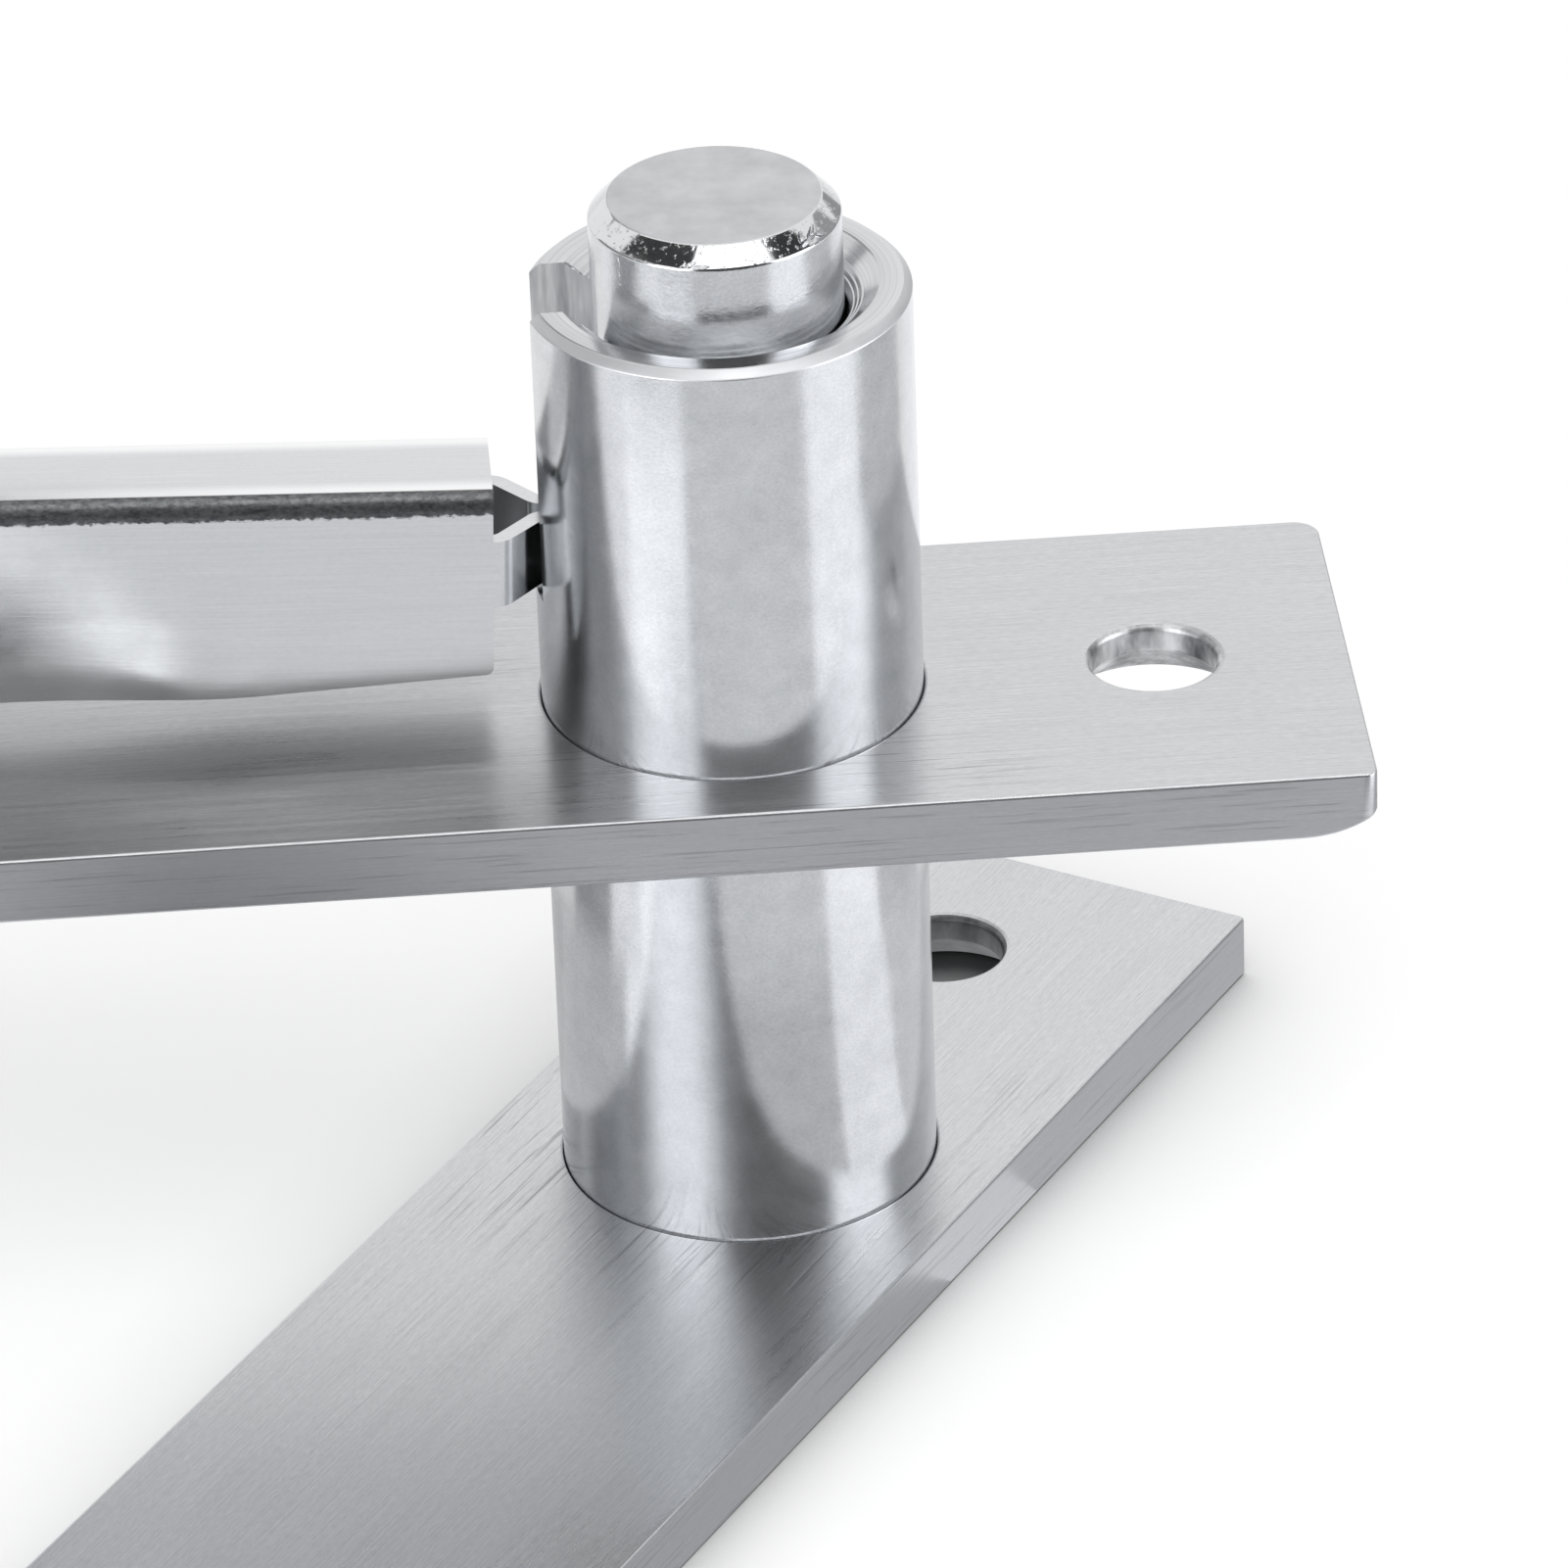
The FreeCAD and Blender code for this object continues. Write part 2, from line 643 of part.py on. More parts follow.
def adjusting_screw():
    """A screw turned from below by a hexagon key and held by its head and a clip."""
    body = new_body("adjusting_screw", x=SCREW_X)
    groove = "screw_radius - groove_depth"
    groove_low = "screw_washer_thickness"
    groove_high = "screw_washer_thickness + clip_thickness + 2 * groove_play"
    turn(body, "XZ_Plane", [
        ("0", HEAD_SEAT + " - screw_head_height"),
        ("screw_head_radius", HEAD_SEAT + " - screw_head_height"),
        ("screw_head_radius", HEAD_SEAT),
        ("screw_radius", HEAD_SEAT),
        ("screw_radius", groove_low),
        (groove, groove_low),
        (groove, groove_high),
        ("screw_radius", groove_high),
        ("screw_radius", "screw_top"),
        ("0", "screw_top"),
    ])
    key = new_sketch(body, "XY_Plane", offset=HEAD_SEAT + " - screw_head_height")
    outline(key, [
        ("hex_flats / sqrt(3) * cos(%d)" % angle, "hex_flats / sqrt(3) * sin(%d)" % angle)
        for angle in range(0, 360, 60)
    ])
    cut(body, key, "hex_depth", reverse=True)
    return body


def trunnion_nut():
    """A cross nut with a journal at each end, hung in the lever's flanges."""
    body = new_body("trunnion_nut", x=SCREW_X, z="trunnion_height")
    turn(body, "XY_Plane", [
        ("0", "-" + JOURNAL_END),
        ("journal_radius", "-" + JOURNAL_END),
        ("journal_radius", "-" + TRUNNION_SHOULDER),
        ("trunnion_radius", "-" + TRUNNION_SHOULDER),
        ("trunnion_radius", TRUNNION_SHOULDER),
        ("journal_radius", TRUNNION_SHOULDER),
        ("journal_radius", JOURNAL_END),
        ("0", JOURNAL_END),
    ])
    thread = new_sketch(body, "XY_Plane")
    circle(thread, "0", "0", "screw_radius + thread_clearance")
    cut(body, thread, "2 * trunnion_radius", both_ways=True)
    return body


def turn_with_door(body):
    body.Placement.Rotation = FreeCAD.Rotation(FreeCAD.Vector(0, 0, 1), 1)
    bind(body, "Placement.Rotation.Angle", "door_angle")


pieces = [
    frame_plate(),
    frame_barrel(),
    fulcrum_bracket(),
    bracket_rivet("bracket_rivet_front", FULCRUM_X + " + rivet_spacing / 2"),
    bracket_rivet("bracket_rivet_rear", FULCRUM_X + " - rivet_spacing / 2"),
    fulcrum_pin(),
    fulcrum_clip(),
    lever(),
    trunnion_nut(),
    adjusting_screw(),
    screw_washer(),
    screw_clip(),
    pivot_pin(),
    thrust_washer(),
    door_plate(),
    door_barrel(),
    door_bush(),
]
for piece in pieces[-3:]:
    turn_with_door(piece)
doc.recompute()

for item in doc.Objects:
    if "Invalid" in item.State or "Error" in item.State:
        raise RuntimeError("failed: " + item.Label)
for piece in pieces:
    if piece.Shape.isNull() or not piece.Shape.isValid():
        raise RuntimeError("bad shape: " + piece.Label)

os.makedirs("parts", exist_ok=True)
for piece in pieces:
    piece.Shape.exportStep("parts/" + piece.Label + ".step")
    box = piece.Shape.BoundBox
    print("%-20s %9.1f mm3  x %6.2f %6.2f  y %6.2f %6.2f  z %6.2f %6.2f" % (
        piece.Label, piece.Shape.Volume, box.XMin, box.XMax, box.YMin, box.YMax, box.ZMin, box.ZMax))
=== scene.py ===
import bmesh
import bpy
import math
from mathutils import Matrix, Vector
from random import Random


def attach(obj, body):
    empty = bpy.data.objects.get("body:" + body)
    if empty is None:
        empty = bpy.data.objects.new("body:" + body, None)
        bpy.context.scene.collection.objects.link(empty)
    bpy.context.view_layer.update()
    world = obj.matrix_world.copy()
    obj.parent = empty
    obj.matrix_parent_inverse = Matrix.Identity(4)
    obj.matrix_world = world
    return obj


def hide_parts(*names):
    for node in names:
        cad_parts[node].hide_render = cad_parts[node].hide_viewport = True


# A piece is drawn in millimetres and scaled to metres when it is finished. Its place, the floor,
# the cards and the lamps are metres.
# The lever is drawn in its own frame and the door leaf unturned, so that their grain follows them.

MM = 0.001
NOSE_DIP = math.radians(2.6)
DOOR_ANGLE = math.radians(57.2)
LEVER_PLACE = Matrix.Translation((-0.052, 0, 0.0091)) @ Matrix.Rotation(NOSE_DIP, 4, "Y")
DOOR_PLACE = Matrix.Rotation(DOOR_ANGLE, 4, "Z")

PLATE_THICKNESS = 4
PLATE_HALF_WIDTH = 15
PLATE_NEAR = 35.5
FRAME_FAR = -104.5
DOOR_FAR = -84.5
DOOR_DROP = -31
NEAR_HOLE = 24.3
FRAME_HOLE = -93.3
DOOR_HOLE = -73.3
SCREW_X = -74
REAR_RIVET = -56
FRONT_RIVET = -48
BARREL_RADIUS = 11
PIN_RADIUS = 7.15

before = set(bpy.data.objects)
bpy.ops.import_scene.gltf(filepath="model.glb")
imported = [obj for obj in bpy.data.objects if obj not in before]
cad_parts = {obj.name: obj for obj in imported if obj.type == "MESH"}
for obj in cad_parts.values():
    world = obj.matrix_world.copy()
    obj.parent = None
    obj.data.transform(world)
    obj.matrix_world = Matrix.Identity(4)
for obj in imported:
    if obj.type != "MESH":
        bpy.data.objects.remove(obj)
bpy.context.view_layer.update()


# Meshes

def blended(points, size, closed=False):
    """A line of points with its corners turned into short curves."""
    points = [Vector(point) for point in points]
    count = len(points)
    steps = 4
    result = []
    for i, corner in enumerate(points):
        if not closed and i in (0, count - 1):
            result.append(corner)
            continue
        back = points[i - 1] - corner
        ahead = points[(i + 1) % count] - corner
        reach = min(size, back.length * 0.45, ahead.length * 0.45)
        start = corner + back.normalized() * reach
        end = corner + ahead.normalized() * reach
        for step in range(steps + 1):
            t = step / steps
            result.append(start * (1 - t) ** 2 + corner * 2 * t * (1 - t) + end * t ** 2)
    return result


def ring(bm, radii, height):
    """Points round Z at one height, one for each radius given."""
    count = len(radii)
    return [bm.verts.new((radius * math.cos(2 * math.pi * k / count),
                          radius * math.sin(2 * math.pi * k / count), height))
            for k, radius in enumerate(radii)]


def skin(bm, rings):
    """Faces from each ring to the next, where a ring of one point closes an end."""
    for low, high in zip(rings, rings[1:]):
        count = max(len(low), len(high))
        for k in range(count):
            n = (k + 1) % count
            if len(low) == 1:
                bm.faces.new((low[0], high[n], high[k]))
            elif len(high) == 1:
                bm.faces.new((low[k], low[n], high[0]))
            else:
                bm.faces.new((low[k], low[n], high[n], high[k]))
    bmesh.ops.recalc_face_normals(bm, faces=bm.faces)


def turned(profile, closed=False, segments=192):
    """A bmesh turned about Z from (radius, height) points."""
    on_axis = 1e-5
    bm = bmesh.new()
    rings = [[bm.verts.new((0, 0, height))] if radius < on_axis
             else ring(bm, [radius] * segments, height) for radius, height in profile]
    skin(bm, rings + rings[:1] if closed else rings)
    return bm


def prism(points, low, high):
    """A bmesh of a flat outline, from one height to another."""
    bm = bmesh.new()
    floor = [bm.verts.new((x, y, low)) for x, y in points]
    roof = [bm.verts.new((x, y, high)) for x, y in points]
    bm.faces.new(floor)
    bm.faces.new(roof)
    count = len(points)
    for i in range(count):
        n = (i + 1) % count
        bm.faces.new((floor[i], floor[n], roof[n], roof[i]))
    bmesh.ops.recalc_face_normals(bm, faces=bm.faces)
    return bm


def corner_outline(corners):
    """An outline from (x, y, radius) corners, given counterclockwise."""
    points = []
    steps = 10
    for i, (x, y, radius) in enumerate(corners):
        corner = Vector((x, y))
        back = (Vector(corners[i - 1][:2]) - corner).normalized()
        ahead = (Vector(corners[(i + 1) % len(corners)][:2]) - corner).normalized()
        half = back.angle(ahead) / 2
        middle = corner + (back + ahead).normalized() * radius / math.sin(half)
        start = corner + back * radius / math.tan(half) - middle
        sweep = start.angle_signed(corner + ahead * radius / math.tan(half) - middle)
        for step in range(steps + 1):
            points.append(middle + Matrix.Rotation(-sweep * step / steps, 2) @ start)
    return points


def obround(travel, radius, steps):
    """The outline of a slot with round ends, long in X."""
    points = []
    for side in (1, -1):
        for step in range(steps + 1):
            angle = math.pi * step / steps - math.pi / 2
            points.append(Vector((
                side * (travel / 2 + radius * math.cos(angle)),
                side * radius * math.sin(angle))))
    return points


def place(bm, matrix):
    """Moves a bmesh."""
    bmesh.ops.transform(bm, matrix=matrix, verts=bm.verts)
    return bm


def along_y(bm, x=0, z=0):
    """Turns something drawn up Z so that it runs along Y, its second axis down."""
    return place(bm, Matrix.Translation((x, 0, z)) @ Matrix.Rotation(math.radians(90), 4, "X"))


def raw_object(name, bm):
    """An object in the scene from a bmesh, which is used up."""
    mesh = bpy.data.meshes.new(name)
    bm.to_mesh(mesh)
    bm.free()
    item = bpy.data.objects.new(name, mesh)
    bpy.context.scene.collection.objects.link(item)
    return item


def baked(item):
    """The item with its modifiers worked into its mesh."""
    graph = bpy.context.evaluated_depsgraph_get()
    graph.update()
    mesh = bpy.data.meshes.new_from_object(item.evaluated_get(graph))
    item.modifiers.clear()
    item.data = mesh
    return item


def welded(item, distance=0.002):
    """Joins points that coincide, drops what that leaves without area and closes any gap."""
    bm = bmesh.new()
    bm.from_mesh(item.data)
    bmesh.ops.remove_doubles(bm, verts=bm.verts, dist=distance)
    bmesh.ops.dissolve_degenerate(bm, dist=distance, edges=bm.edges)
    bmesh.ops.holes_fill(bm, edges=[edge for edge in bm.edges if edge.is_boundary])
    bm.to_mesh(item.data)
    bm.free()


def carved(name, bm, cutters=(), edge=0.12, angle=32):
    """An object cut by others and with its hard edges softened."""
    item = raw_object(name, bm)
    tools = []
    for cutter in cutters:
        tool = raw_object(name + "_cutter", cutter)
        tools.append(tool)
        cut = item.modifiers.new("cut", "BOOLEAN")
        cut.operation = "DIFFERENCE"
        cut.solver = "EXACT"
        cut.object = tool
    if cutters:
        welded(baked(item), 0.004)
    for tool in tools:
        bpy.data.objects.remove(tool)
    if edge:
        bevel = item.modifiers.new("edge", "BEVEL")
        bevel.width = edge
        bevel.segments = 3
        bevel.limit_method = "ANGLE"
        bevel.angle_limit = math.radians(angle)
        welded(baked(item))
    return item


def finished(item, body, nodes, materials, matrix=None, sharp=40):
    """Scales to metres, shades, places and declares a piece."""
    mesh = item.data
    mesh.transform(Matrix.Scale(MM, 4))
    for polygon in mesh.polygons:
        polygon.use_smooth = True
    mesh.set_sharp_from_angle(angle=math.radians(sharp))
    weighted = item.modifiers.new("weighted", "WEIGHTED_NORMAL")
    weighted.keep_sharp = True
    weighted.weight = 60
    baked(item)
    mesh = item.data
    mesh.name = item.name
    for material in materials:
        mesh.materials.append(material)
    if matrix:
        item.matrix_world = matrix
    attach(item, body)
    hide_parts(*nodes)


# Materials

class Nodes:
    """Short forms for building the node tree of a material or a world."""

    def __init__(self, owner, output="ShaderNodeOutputMaterial"):
        self.owner = owner
        owner.use_nodes = True
        self.tree = owner.node_tree
        self.tree.nodes.clear()
        self.output = self.add(output)

    def add(self, kind, **values):
        node = self.tree.nodes.new(kind)
        for key, value in values.items():
            setattr(node, key, value)
        return node

    def feed(self, socket, value):
        """Links another node's output to a socket, or sets a constant on it."""
        if isinstance(value, bpy.types.NodeSocket):
            self.tree.links.new(value, socket)
        elif value is not None:
            socket.default_value = value

    def math(self, operation, a, b=None, clamp=False):
        node = self.add("ShaderNodeMath", operation=operation, use_clamp=clamp)
        self.feed(node.inputs[0], a)
        self.feed(node.inputs[1], b)
        return node.outputs[0]

    def times(self, a, b):
        return self.math("MULTIPLY", a, b)

    def total(self, *terms):
        """The sum of (value, weight) pairs."""
        result = None
        for value, weight in terms:
            part = value if weight == 1 else self.times(value, weight)
            result = part if result is None else self.math("ADD", result, part)
        return result

    def vector(self, operation, a, b=None, scale=None):
        node = self.add("ShaderNodeVectorMath", operation=operation)
        self.feed(node.inputs[0], a)
        self.feed(node.inputs[1], b)
        if scale is not None:
            node.inputs["Scale"].default_value = scale
        return node.outputs["Value" if operation == "LENGTH" else "Vector"]

    def split(self, vector):
        node = self.add("ShaderNodeSeparateXYZ")
        self.feed(node.inputs[0], vector)
        return node.outputs

    def noise(self, vector, scale, detail, roughness, distortion=0.0):
        node = self.add("ShaderNodeTexNoise", noise_dimensions="3D")
        self.feed(node.inputs["Vector"], vector)
        self.feed(node.inputs["Scale"], scale)
        self.feed(node.inputs["Detail"], detail)
        self.feed(node.inputs["Roughness"], roughness)
        self.feed(node.inputs["Distortion"], distortion)
        return node.outputs[0]

    def drawn_noise(self, vector, scales, detail, roughness, distortion=0.0):
        """Noise with a scale for each axis; a small one draws it out along that axis."""
        return self.noise(self.vector("MULTIPLY", vector, scales), 1.0, detail, roughness,
                          distortion)

    def ranged(self, value, low, high, to_low=0.0, to_high=1.0, smooth=False):
        node = self.add("ShaderNodeMapRange")
        if smooth:
            node.interpolation_type = "SMOOTHSTEP"
        for socket, number in zip(node.inputs, (value, low, high, to_low, to_high)):
            self.feed(socket, number)
        return node.outputs[0]

    def mask(self, value, start, end):
        """Nought before the start, one past the end, with a soft step between."""
        return self.ranged(value, start, end, smooth=True)

    def blend(self, factor, a, b):
        """One colour turning into another; the sockets go by number, because names recur."""
        node = self.add("ShaderNodeMix", data_type="RGBA")
        self.feed(node.inputs[0], factor)
        self.feed(node.inputs[6], a)
        self.feed(node.inputs[7], b)
        return node.outputs[2]

    def bump(self, height, distance):
        node = self.add("ShaderNodeBump")
        self.feed(node.inputs["Distance"], distance * MM)
        self.feed(node.inputs["Height"], height)
        return node.outputs[0]

    def spot(self):
        """Object coordinates in millimetres."""
        coordinates = self.add("ShaderNodeTexCoord")
        return self.vector("MULTIPLY", coordinates.outputs["Object"], (1000, 1000, 1000))

    def seen(self):
        """One for what the camera, a reflection or a clear material sees, nought for light."""
        path = self.add("ShaderNodeLightPath").outputs
        seen = self.math("MAXIMUM", path["Is Camera Ray"], path["Is Glossy Ray"])
        return self.math("MAXIMUM", seen, path["Is Transmission Ray"])

    def metal(self, colour, roughness, normal, anisotropic=0.0, rotation=0.0, tangent=None):
        shader = self.add("ShaderNodeBsdfPrincipled")
        for socket, value in (
                ("Metallic", 1.0), ("Base Color", colour), ("Roughness", roughness),
                ("Normal", normal), ("Anisotropic", anisotropic),
                ("Anisotropic Rotation", rotation), ("Tangent", tangent)):
            self.feed(shader.inputs[socket], value)
        self.feed(self.output.inputs[0], shader.outputs[0])
        return self.owner


def straight_tangent(n, grain):
    """A tangent across lines that run along a direction of the object, on any of its faces."""
    turn = n.add("ShaderNodeVectorTransform", vector_type="VECTOR",
                 convert_from="OBJECT", convert_to="WORLD")
    n.feed(turn.inputs[0], grain)
    geometry = n.add("ShaderNodeNewGeometry")
    return n.vector("CROSS_PRODUCT", geometry.outputs["Normal"], turn.outputs[0])


def round_noise(n, spot, turn_scale, line_scale, detail, roughness):
    """Noise that is long round the axis and short along the radius and the height."""
    flat = n.vector("MULTIPLY", spot, (1, 1, 0))
    heading = n.vector("SCALE", n.vector("NORMALIZE", flat), scale=turn_scale)
    rise = n.add("ShaderNodeCombineXYZ")
    line = n.math("ADD", n.split(spot)[2], n.vector("LENGTH", flat))
    n.feed(rise.inputs[2], n.times(line, line_scale))
    return n.noise(n.vector("ADD", heading, rise.outputs[0]), 1.0, detail, roughness)


def brushed_steel(name, colour, dark, low, high, depth):
    """Rolled and brushed lengthwise: fine lines, dull patches, coarse drawn lines on the edges."""
    n = Nodes(bpy.data.materials.new(name))
    spot = n.spot()
    fine = n.drawn_noise(spot, (0.10, 9, 9), 4.0, 0.7)
    wide = n.drawn_noise(spot, (0.05, 2.2, 2.2), 3.0, 0.6)
    grit = n.drawn_noise(spot, (1.4, 7, 7), 3.0, 0.7)
    cloud = n.drawn_noise(spot, (0.05, 0.12, 0.12), 3.0, 0.5)
    lines = n.drawn_noise(spot, (0.09, 4.2, 4.2), 3.0, 0.6)
    patches = n.drawn_noise(spot, (0.03, 0.05, 0.05), 2.0, 0.5)
    geometry = n.add("ShaderNodeNewGeometry")
    upright = n.split(geometry.outputs["Normal"])[2]
    side = n.ranged(n.math("ABSOLUTE", upright), 0.75, 0.35, smooth=True)
    near_barrel = n.ranged(n.math("ABSOLUTE", n.split(spot)[0]), 12.0, 18.0, 1.0, 0.12)
    scored = n.times(n.mask(patches, 0.48, 0.62), near_barrel)
    drawn = n.times(n.mask(lines, 0.56, 0.66), n.math("ADD", side, scored, clamp=True))
    tint = n.blend(n.ranged(n.total((fine, 0.55), (grit, 0.45)), 0.38, 0.62), dark, colour)
    tint = n.blend(n.times(drawn, 0.5), tint, SCORED)
    tint = n.blend(n.times(side, 0.6), tint, SHEARED)
    rough = n.ranged(n.total((cloud, 0.5), (wide, 0.5)), 0.35, 0.65, low, high)
    height = n.total((fine, 1), (wide, 0.35), (grit, 0.45), (drawn, -0.8))
    return n.metal(tint, rough, n.bump(height, depth), 0.7, 0.0,
                   straight_tangent(n, (1, 0.03, 0.06)))


def turned_steel(name, colour, dark, low, high, depth, anisotropic=0.0, pits=0.0):
    """Turned: a satin mottle with faint rings, and small dents where it was handled."""
    n = Nodes(bpy.data.materials.new(name))
    spot = n.spot()
    rings = round_noise(n, spot, 0.8, 7.0, 3.0, 0.6)
    feed = round_noise(n, spot, 0.6, 1.1, 2.0, 0.5)
    grain = n.drawn_noise(spot, (5, 5, 7), 3.0, 0.7)
    dents = n.drawn_noise(spot, (1.6, 1.6, 3.2), 3.0, 0.6)
    cloud = n.noise(spot, 0.45, 4.0, 0.65)
    tint = n.blend(n.ranged(n.total((grain, 0.5), (cloud, 0.5)), 0.35, 0.65), dark, colour)
    rough = n.ranged(n.total((cloud, 0.7), (feed, 0.3)), 0.35, 0.65, low, high)
    height = n.total((rings, 0.35), (grain, 1), (feed, 0.3), (dents, pits))
    tangent = n.add("ShaderNodeTangent", direction_type="RADIAL", axis="Z")
    return n.metal(tint, rough, n.bump(height, depth), anisotropic, 0.25, tangent.outputs[0])


def faced_steel(name, colour, dark, low, high, depth, pits=0.0):
    """The end of a turned piece, faced smooth, with fine rings round the axis and torn spots."""
    n = Nodes(bpy.data.materials.new(name))
    spot = n.spot()
    rings = round_noise(n, spot, 0.5, 9.0, 3.0, 0.65)
    feed = round_noise(n, spot, 0.3, 2.1, 1.0, 0.5)
    cloud = n.noise(spot, 0.5, 3.0, 0.6)
    torn = n.mask(n.noise(spot, 2.6, 3.0, 0.6), 0.56, 0.70)
    tint = n.blend(n.ranged(rings, 0.3, 0.7), dark, colour)
    rough = n.ranged(cloud, 0.35, 0.65, low, high)
    return n.metal(tint, rough, n.bump(n.total((rings, 1), (feed, 0.8), (torn, pits)), depth))


def pressed_steel(name, colour, low, high, depth):
    """Polished sheet: a soft mirror with a fine grain, dull and pitted where it was bent, with
    painted shade along the bends and a painted highlight on the web beside them.
    """
    n = Nodes(bpy.data.materials.new(name))
    spot = n.spot()
    _, across, up = n.split(spot)
    pits = n.drawn_noise(spot, (2.0, 3.4, 3.4), 4.0, 0.75)
    wave = n.drawn_noise(spot, (0.05, 0.2, 0.2), 2.0, 0.5)
    hair = n.drawn_noise(spot, (0.12, 7.0, 7.0), 3.0, 0.6, 0.4)
    grain = n.drawn_noise(spot, (3.0, 4.5, 4.5), 3.0, 0.7)
    cloud = n.noise(spot, 0.3, 4.0, 0.6)
    near = n.mask(n.times(across, -1.0), 2.95, 3.1)
    far = n.mask(across, 3.45, 3.6)
    ragged = n.math("ADD", up, n.ranged(pits, 0.3, 0.7, -0.14, 0.14))
    bend = n.times(n.math("ADD", near, far), n.mask(ragged, 6.68, 6.80))
    # Painted highlight: a bright stripe on the web next to each bend.
    painted_highlight_stripe = n.times(n.mask(n.math("ABSOLUTE", across), 1.7, 2.85), n.mask(up, 7.0, 7.4))
    tint = n.blend(n.ranged(n.total((grain, 0.4), (hair, 0.6)), 0.35, 0.65), DULL, colour)
    tint = n.blend(painted_highlight_stripe, tint, HIGHLIGHT_PAINT)
    # Painted shade: the bend turns nearly black. Its pits, roughness and bump are real.
    tint = n.blend(n.times(bend, n.ranged(pits, 0.35, 0.65, 0.84, 1.0)), tint, PITTED_AND_SHADED)
    rough = n.total((n.ranged(cloud, 0.3, 0.7, low, high), 1), (bend, 0.2))
    height = n.total((wave, 4.0), (hair, 0.7), (grain, 0.35), (n.times(pits, bend), 16.0))
    return n.metal(tint, rough, n.bump(height, depth))


def satin_steel(name, colour, dark, low, high, depth, scale=6.0, stretch=(1, 1, 1)):
    """Tumbled or milled: an even fine grain with small dents, drawn out along the cut."""
    n = Nodes(bpy.data.materials.new(name))
    spot = n.vector("MULTIPLY", n.spot(), stretch)
    grain = n.noise(spot, scale, 3.0, 0.7)
    dents = n.noise(spot, 1.1, 2.0, 0.5)
    cloud = n.noise(spot, 0.35, 3.0, 0.6)
    tint = n.blend(n.ranged(cloud, 0.3, 0.7), dark, colour)
    rough = n.ranged(n.total((grain, 0.4), (cloud, 0.6)), 0.3, 0.7, low, high)
    return n.metal(tint, rough, n.bump(n.total((grain, 1), (dents, 0.8)), depth))


STEEL = (0.71, 0.72, 0.735, 1)
STEEL_DARK = (0.56, 0.57, 0.585, 1)
CHROME = (0.72, 0.73, 0.74, 1)
# The next colour is the lever's painted highlight.
HIGHLIGHT_PAINT = (0.93, 0.935, 0.94, 1)
DULL = (0.66, 0.67, 0.68, 1)
SHEARED = (0.34, 0.345, 0.36, 1)
SCORED = (0.16, 0.165, 0.175, 1)
# The next colour is the lever's painted shade along its bends, over real pitting.
PITTED_AND_SHADED = (0.08, 0.085, 0.09, 1)

# Each has its light and dark colour, the range of its roughness and the depth of its bump in mm.
plate_steel = brushed_steel("plate_brushed", STEEL, STEEL_DARK, 0.26, 0.34, 0.0055)
barrel_steel = turned_steel("barrel_turned", STEEL, STEEL_DARK, 0.14, 0.19, 0.0036)
barrel_end_steel = faced_steel("barrel_faced", STEEL, STEEL_DARK, 0.14, 0.20, 0.0009)
barrel_bevel_steel = faced_steel("barrel_bevel_turned", STEEL, STEEL_DARK, 0.42, 0.5, 0.001)
milled_steel = satin_steel(
    "slot_milled", (0.98, 0.985, 0.99, 1), (0.42, 0.425, 0.44, 1), 0.5, 0.62, 0.004,
    scale=5.0, stretch=(3.0, 3.0, 0.35))
burr_steel = satin_steel("burr_torn", STEEL, STEEL_DARK, 0.15, 0.25, 0.02, scale=8.0)
pin_steel = turned_steel("pin_turned", STEEL, STEEL_DARK, 0.17, 0.24, 0.0040, pits=2.6)
pin_bevel_steel = faced_steel("pin_bevel_turned", CHROME, STEEL, 0.06, 0.12, 0.001, pits=9.0)
pin_end_steel = satin_steel("pin_end_milled", STEEL, STEEL_DARK, 0.45, 0.6, 0.004, scale=9.0)
lever_steel = pressed_steel("lever_polished", CHROME, 0.13, 0.19, 0.0016)
fastener_steel = satin_steel(
    "fastener_tumbled", (0.52, 0.53, 0.545, 1), (0.42, 0.43, 0.44, 1), 0.28, 0.42, 0.004)
spring_steel = satin_steel(
    "spring_tumbled", (0.32, 0.325, 0.33, 1), (0.22, 0.225, 0.23, 1), 0.3, 0.45, 0.003)
drilled_steel = satin_steel(
    "hole_drilled", (0.90, 0.905, 0.91, 1), SCORED, 0.34, 0.5, 0.006,
    scale=3.0, stretch=(1.6, 1.6, 0.8))
# Painted shade: the walls of the door leaf's screw holes are near black where they lie in shade.
door_hole_shade_steel = satin_steel(
    "hole_painted_shade", (0.30, 0.305, 0.31, 1), (0.10, 0.105, 0.11, 1), 0.34, 0.5, 0.006,
    scale=3.0, stretch=(1.6, 1.6, 0.8))
bronze = turned_steel(
    "bush_bronze", (0.72, 0.48, 0.24, 1), (0.55, 0.34, 0.16, 1), 0.3, 0.45, 0.003,
    anisotropic=0.75)


# Plates

def choose(item, test, index):
    """Gives the faces that a test of centre and normal picks another of the piece's materials."""
    for polygon in item.data.polygons:
        if test(polygon.center, polygon.normal):
            polygon.material_index = index


def in_hole(centre, normal):
    """Whether a face of a plate belongs to the wall of a screw hole."""
    holes = (NEAR_HOLE, DOOR_HOLE, FRAME_HOLE)
    return abs(normal.z) < 0.9 and min(math.hypot(centre.x - x, centre.y) for x in holes) < 6.7


def straight_hole(x, radius, low=-5.0, high=1.0, segments=96):
    """The cutter of a round hole."""
    return place(turned([(0, low), (radius, low), (radius, high), (0, high)], segments=segments),
                 Matrix.Translation((x, 0, 0)))


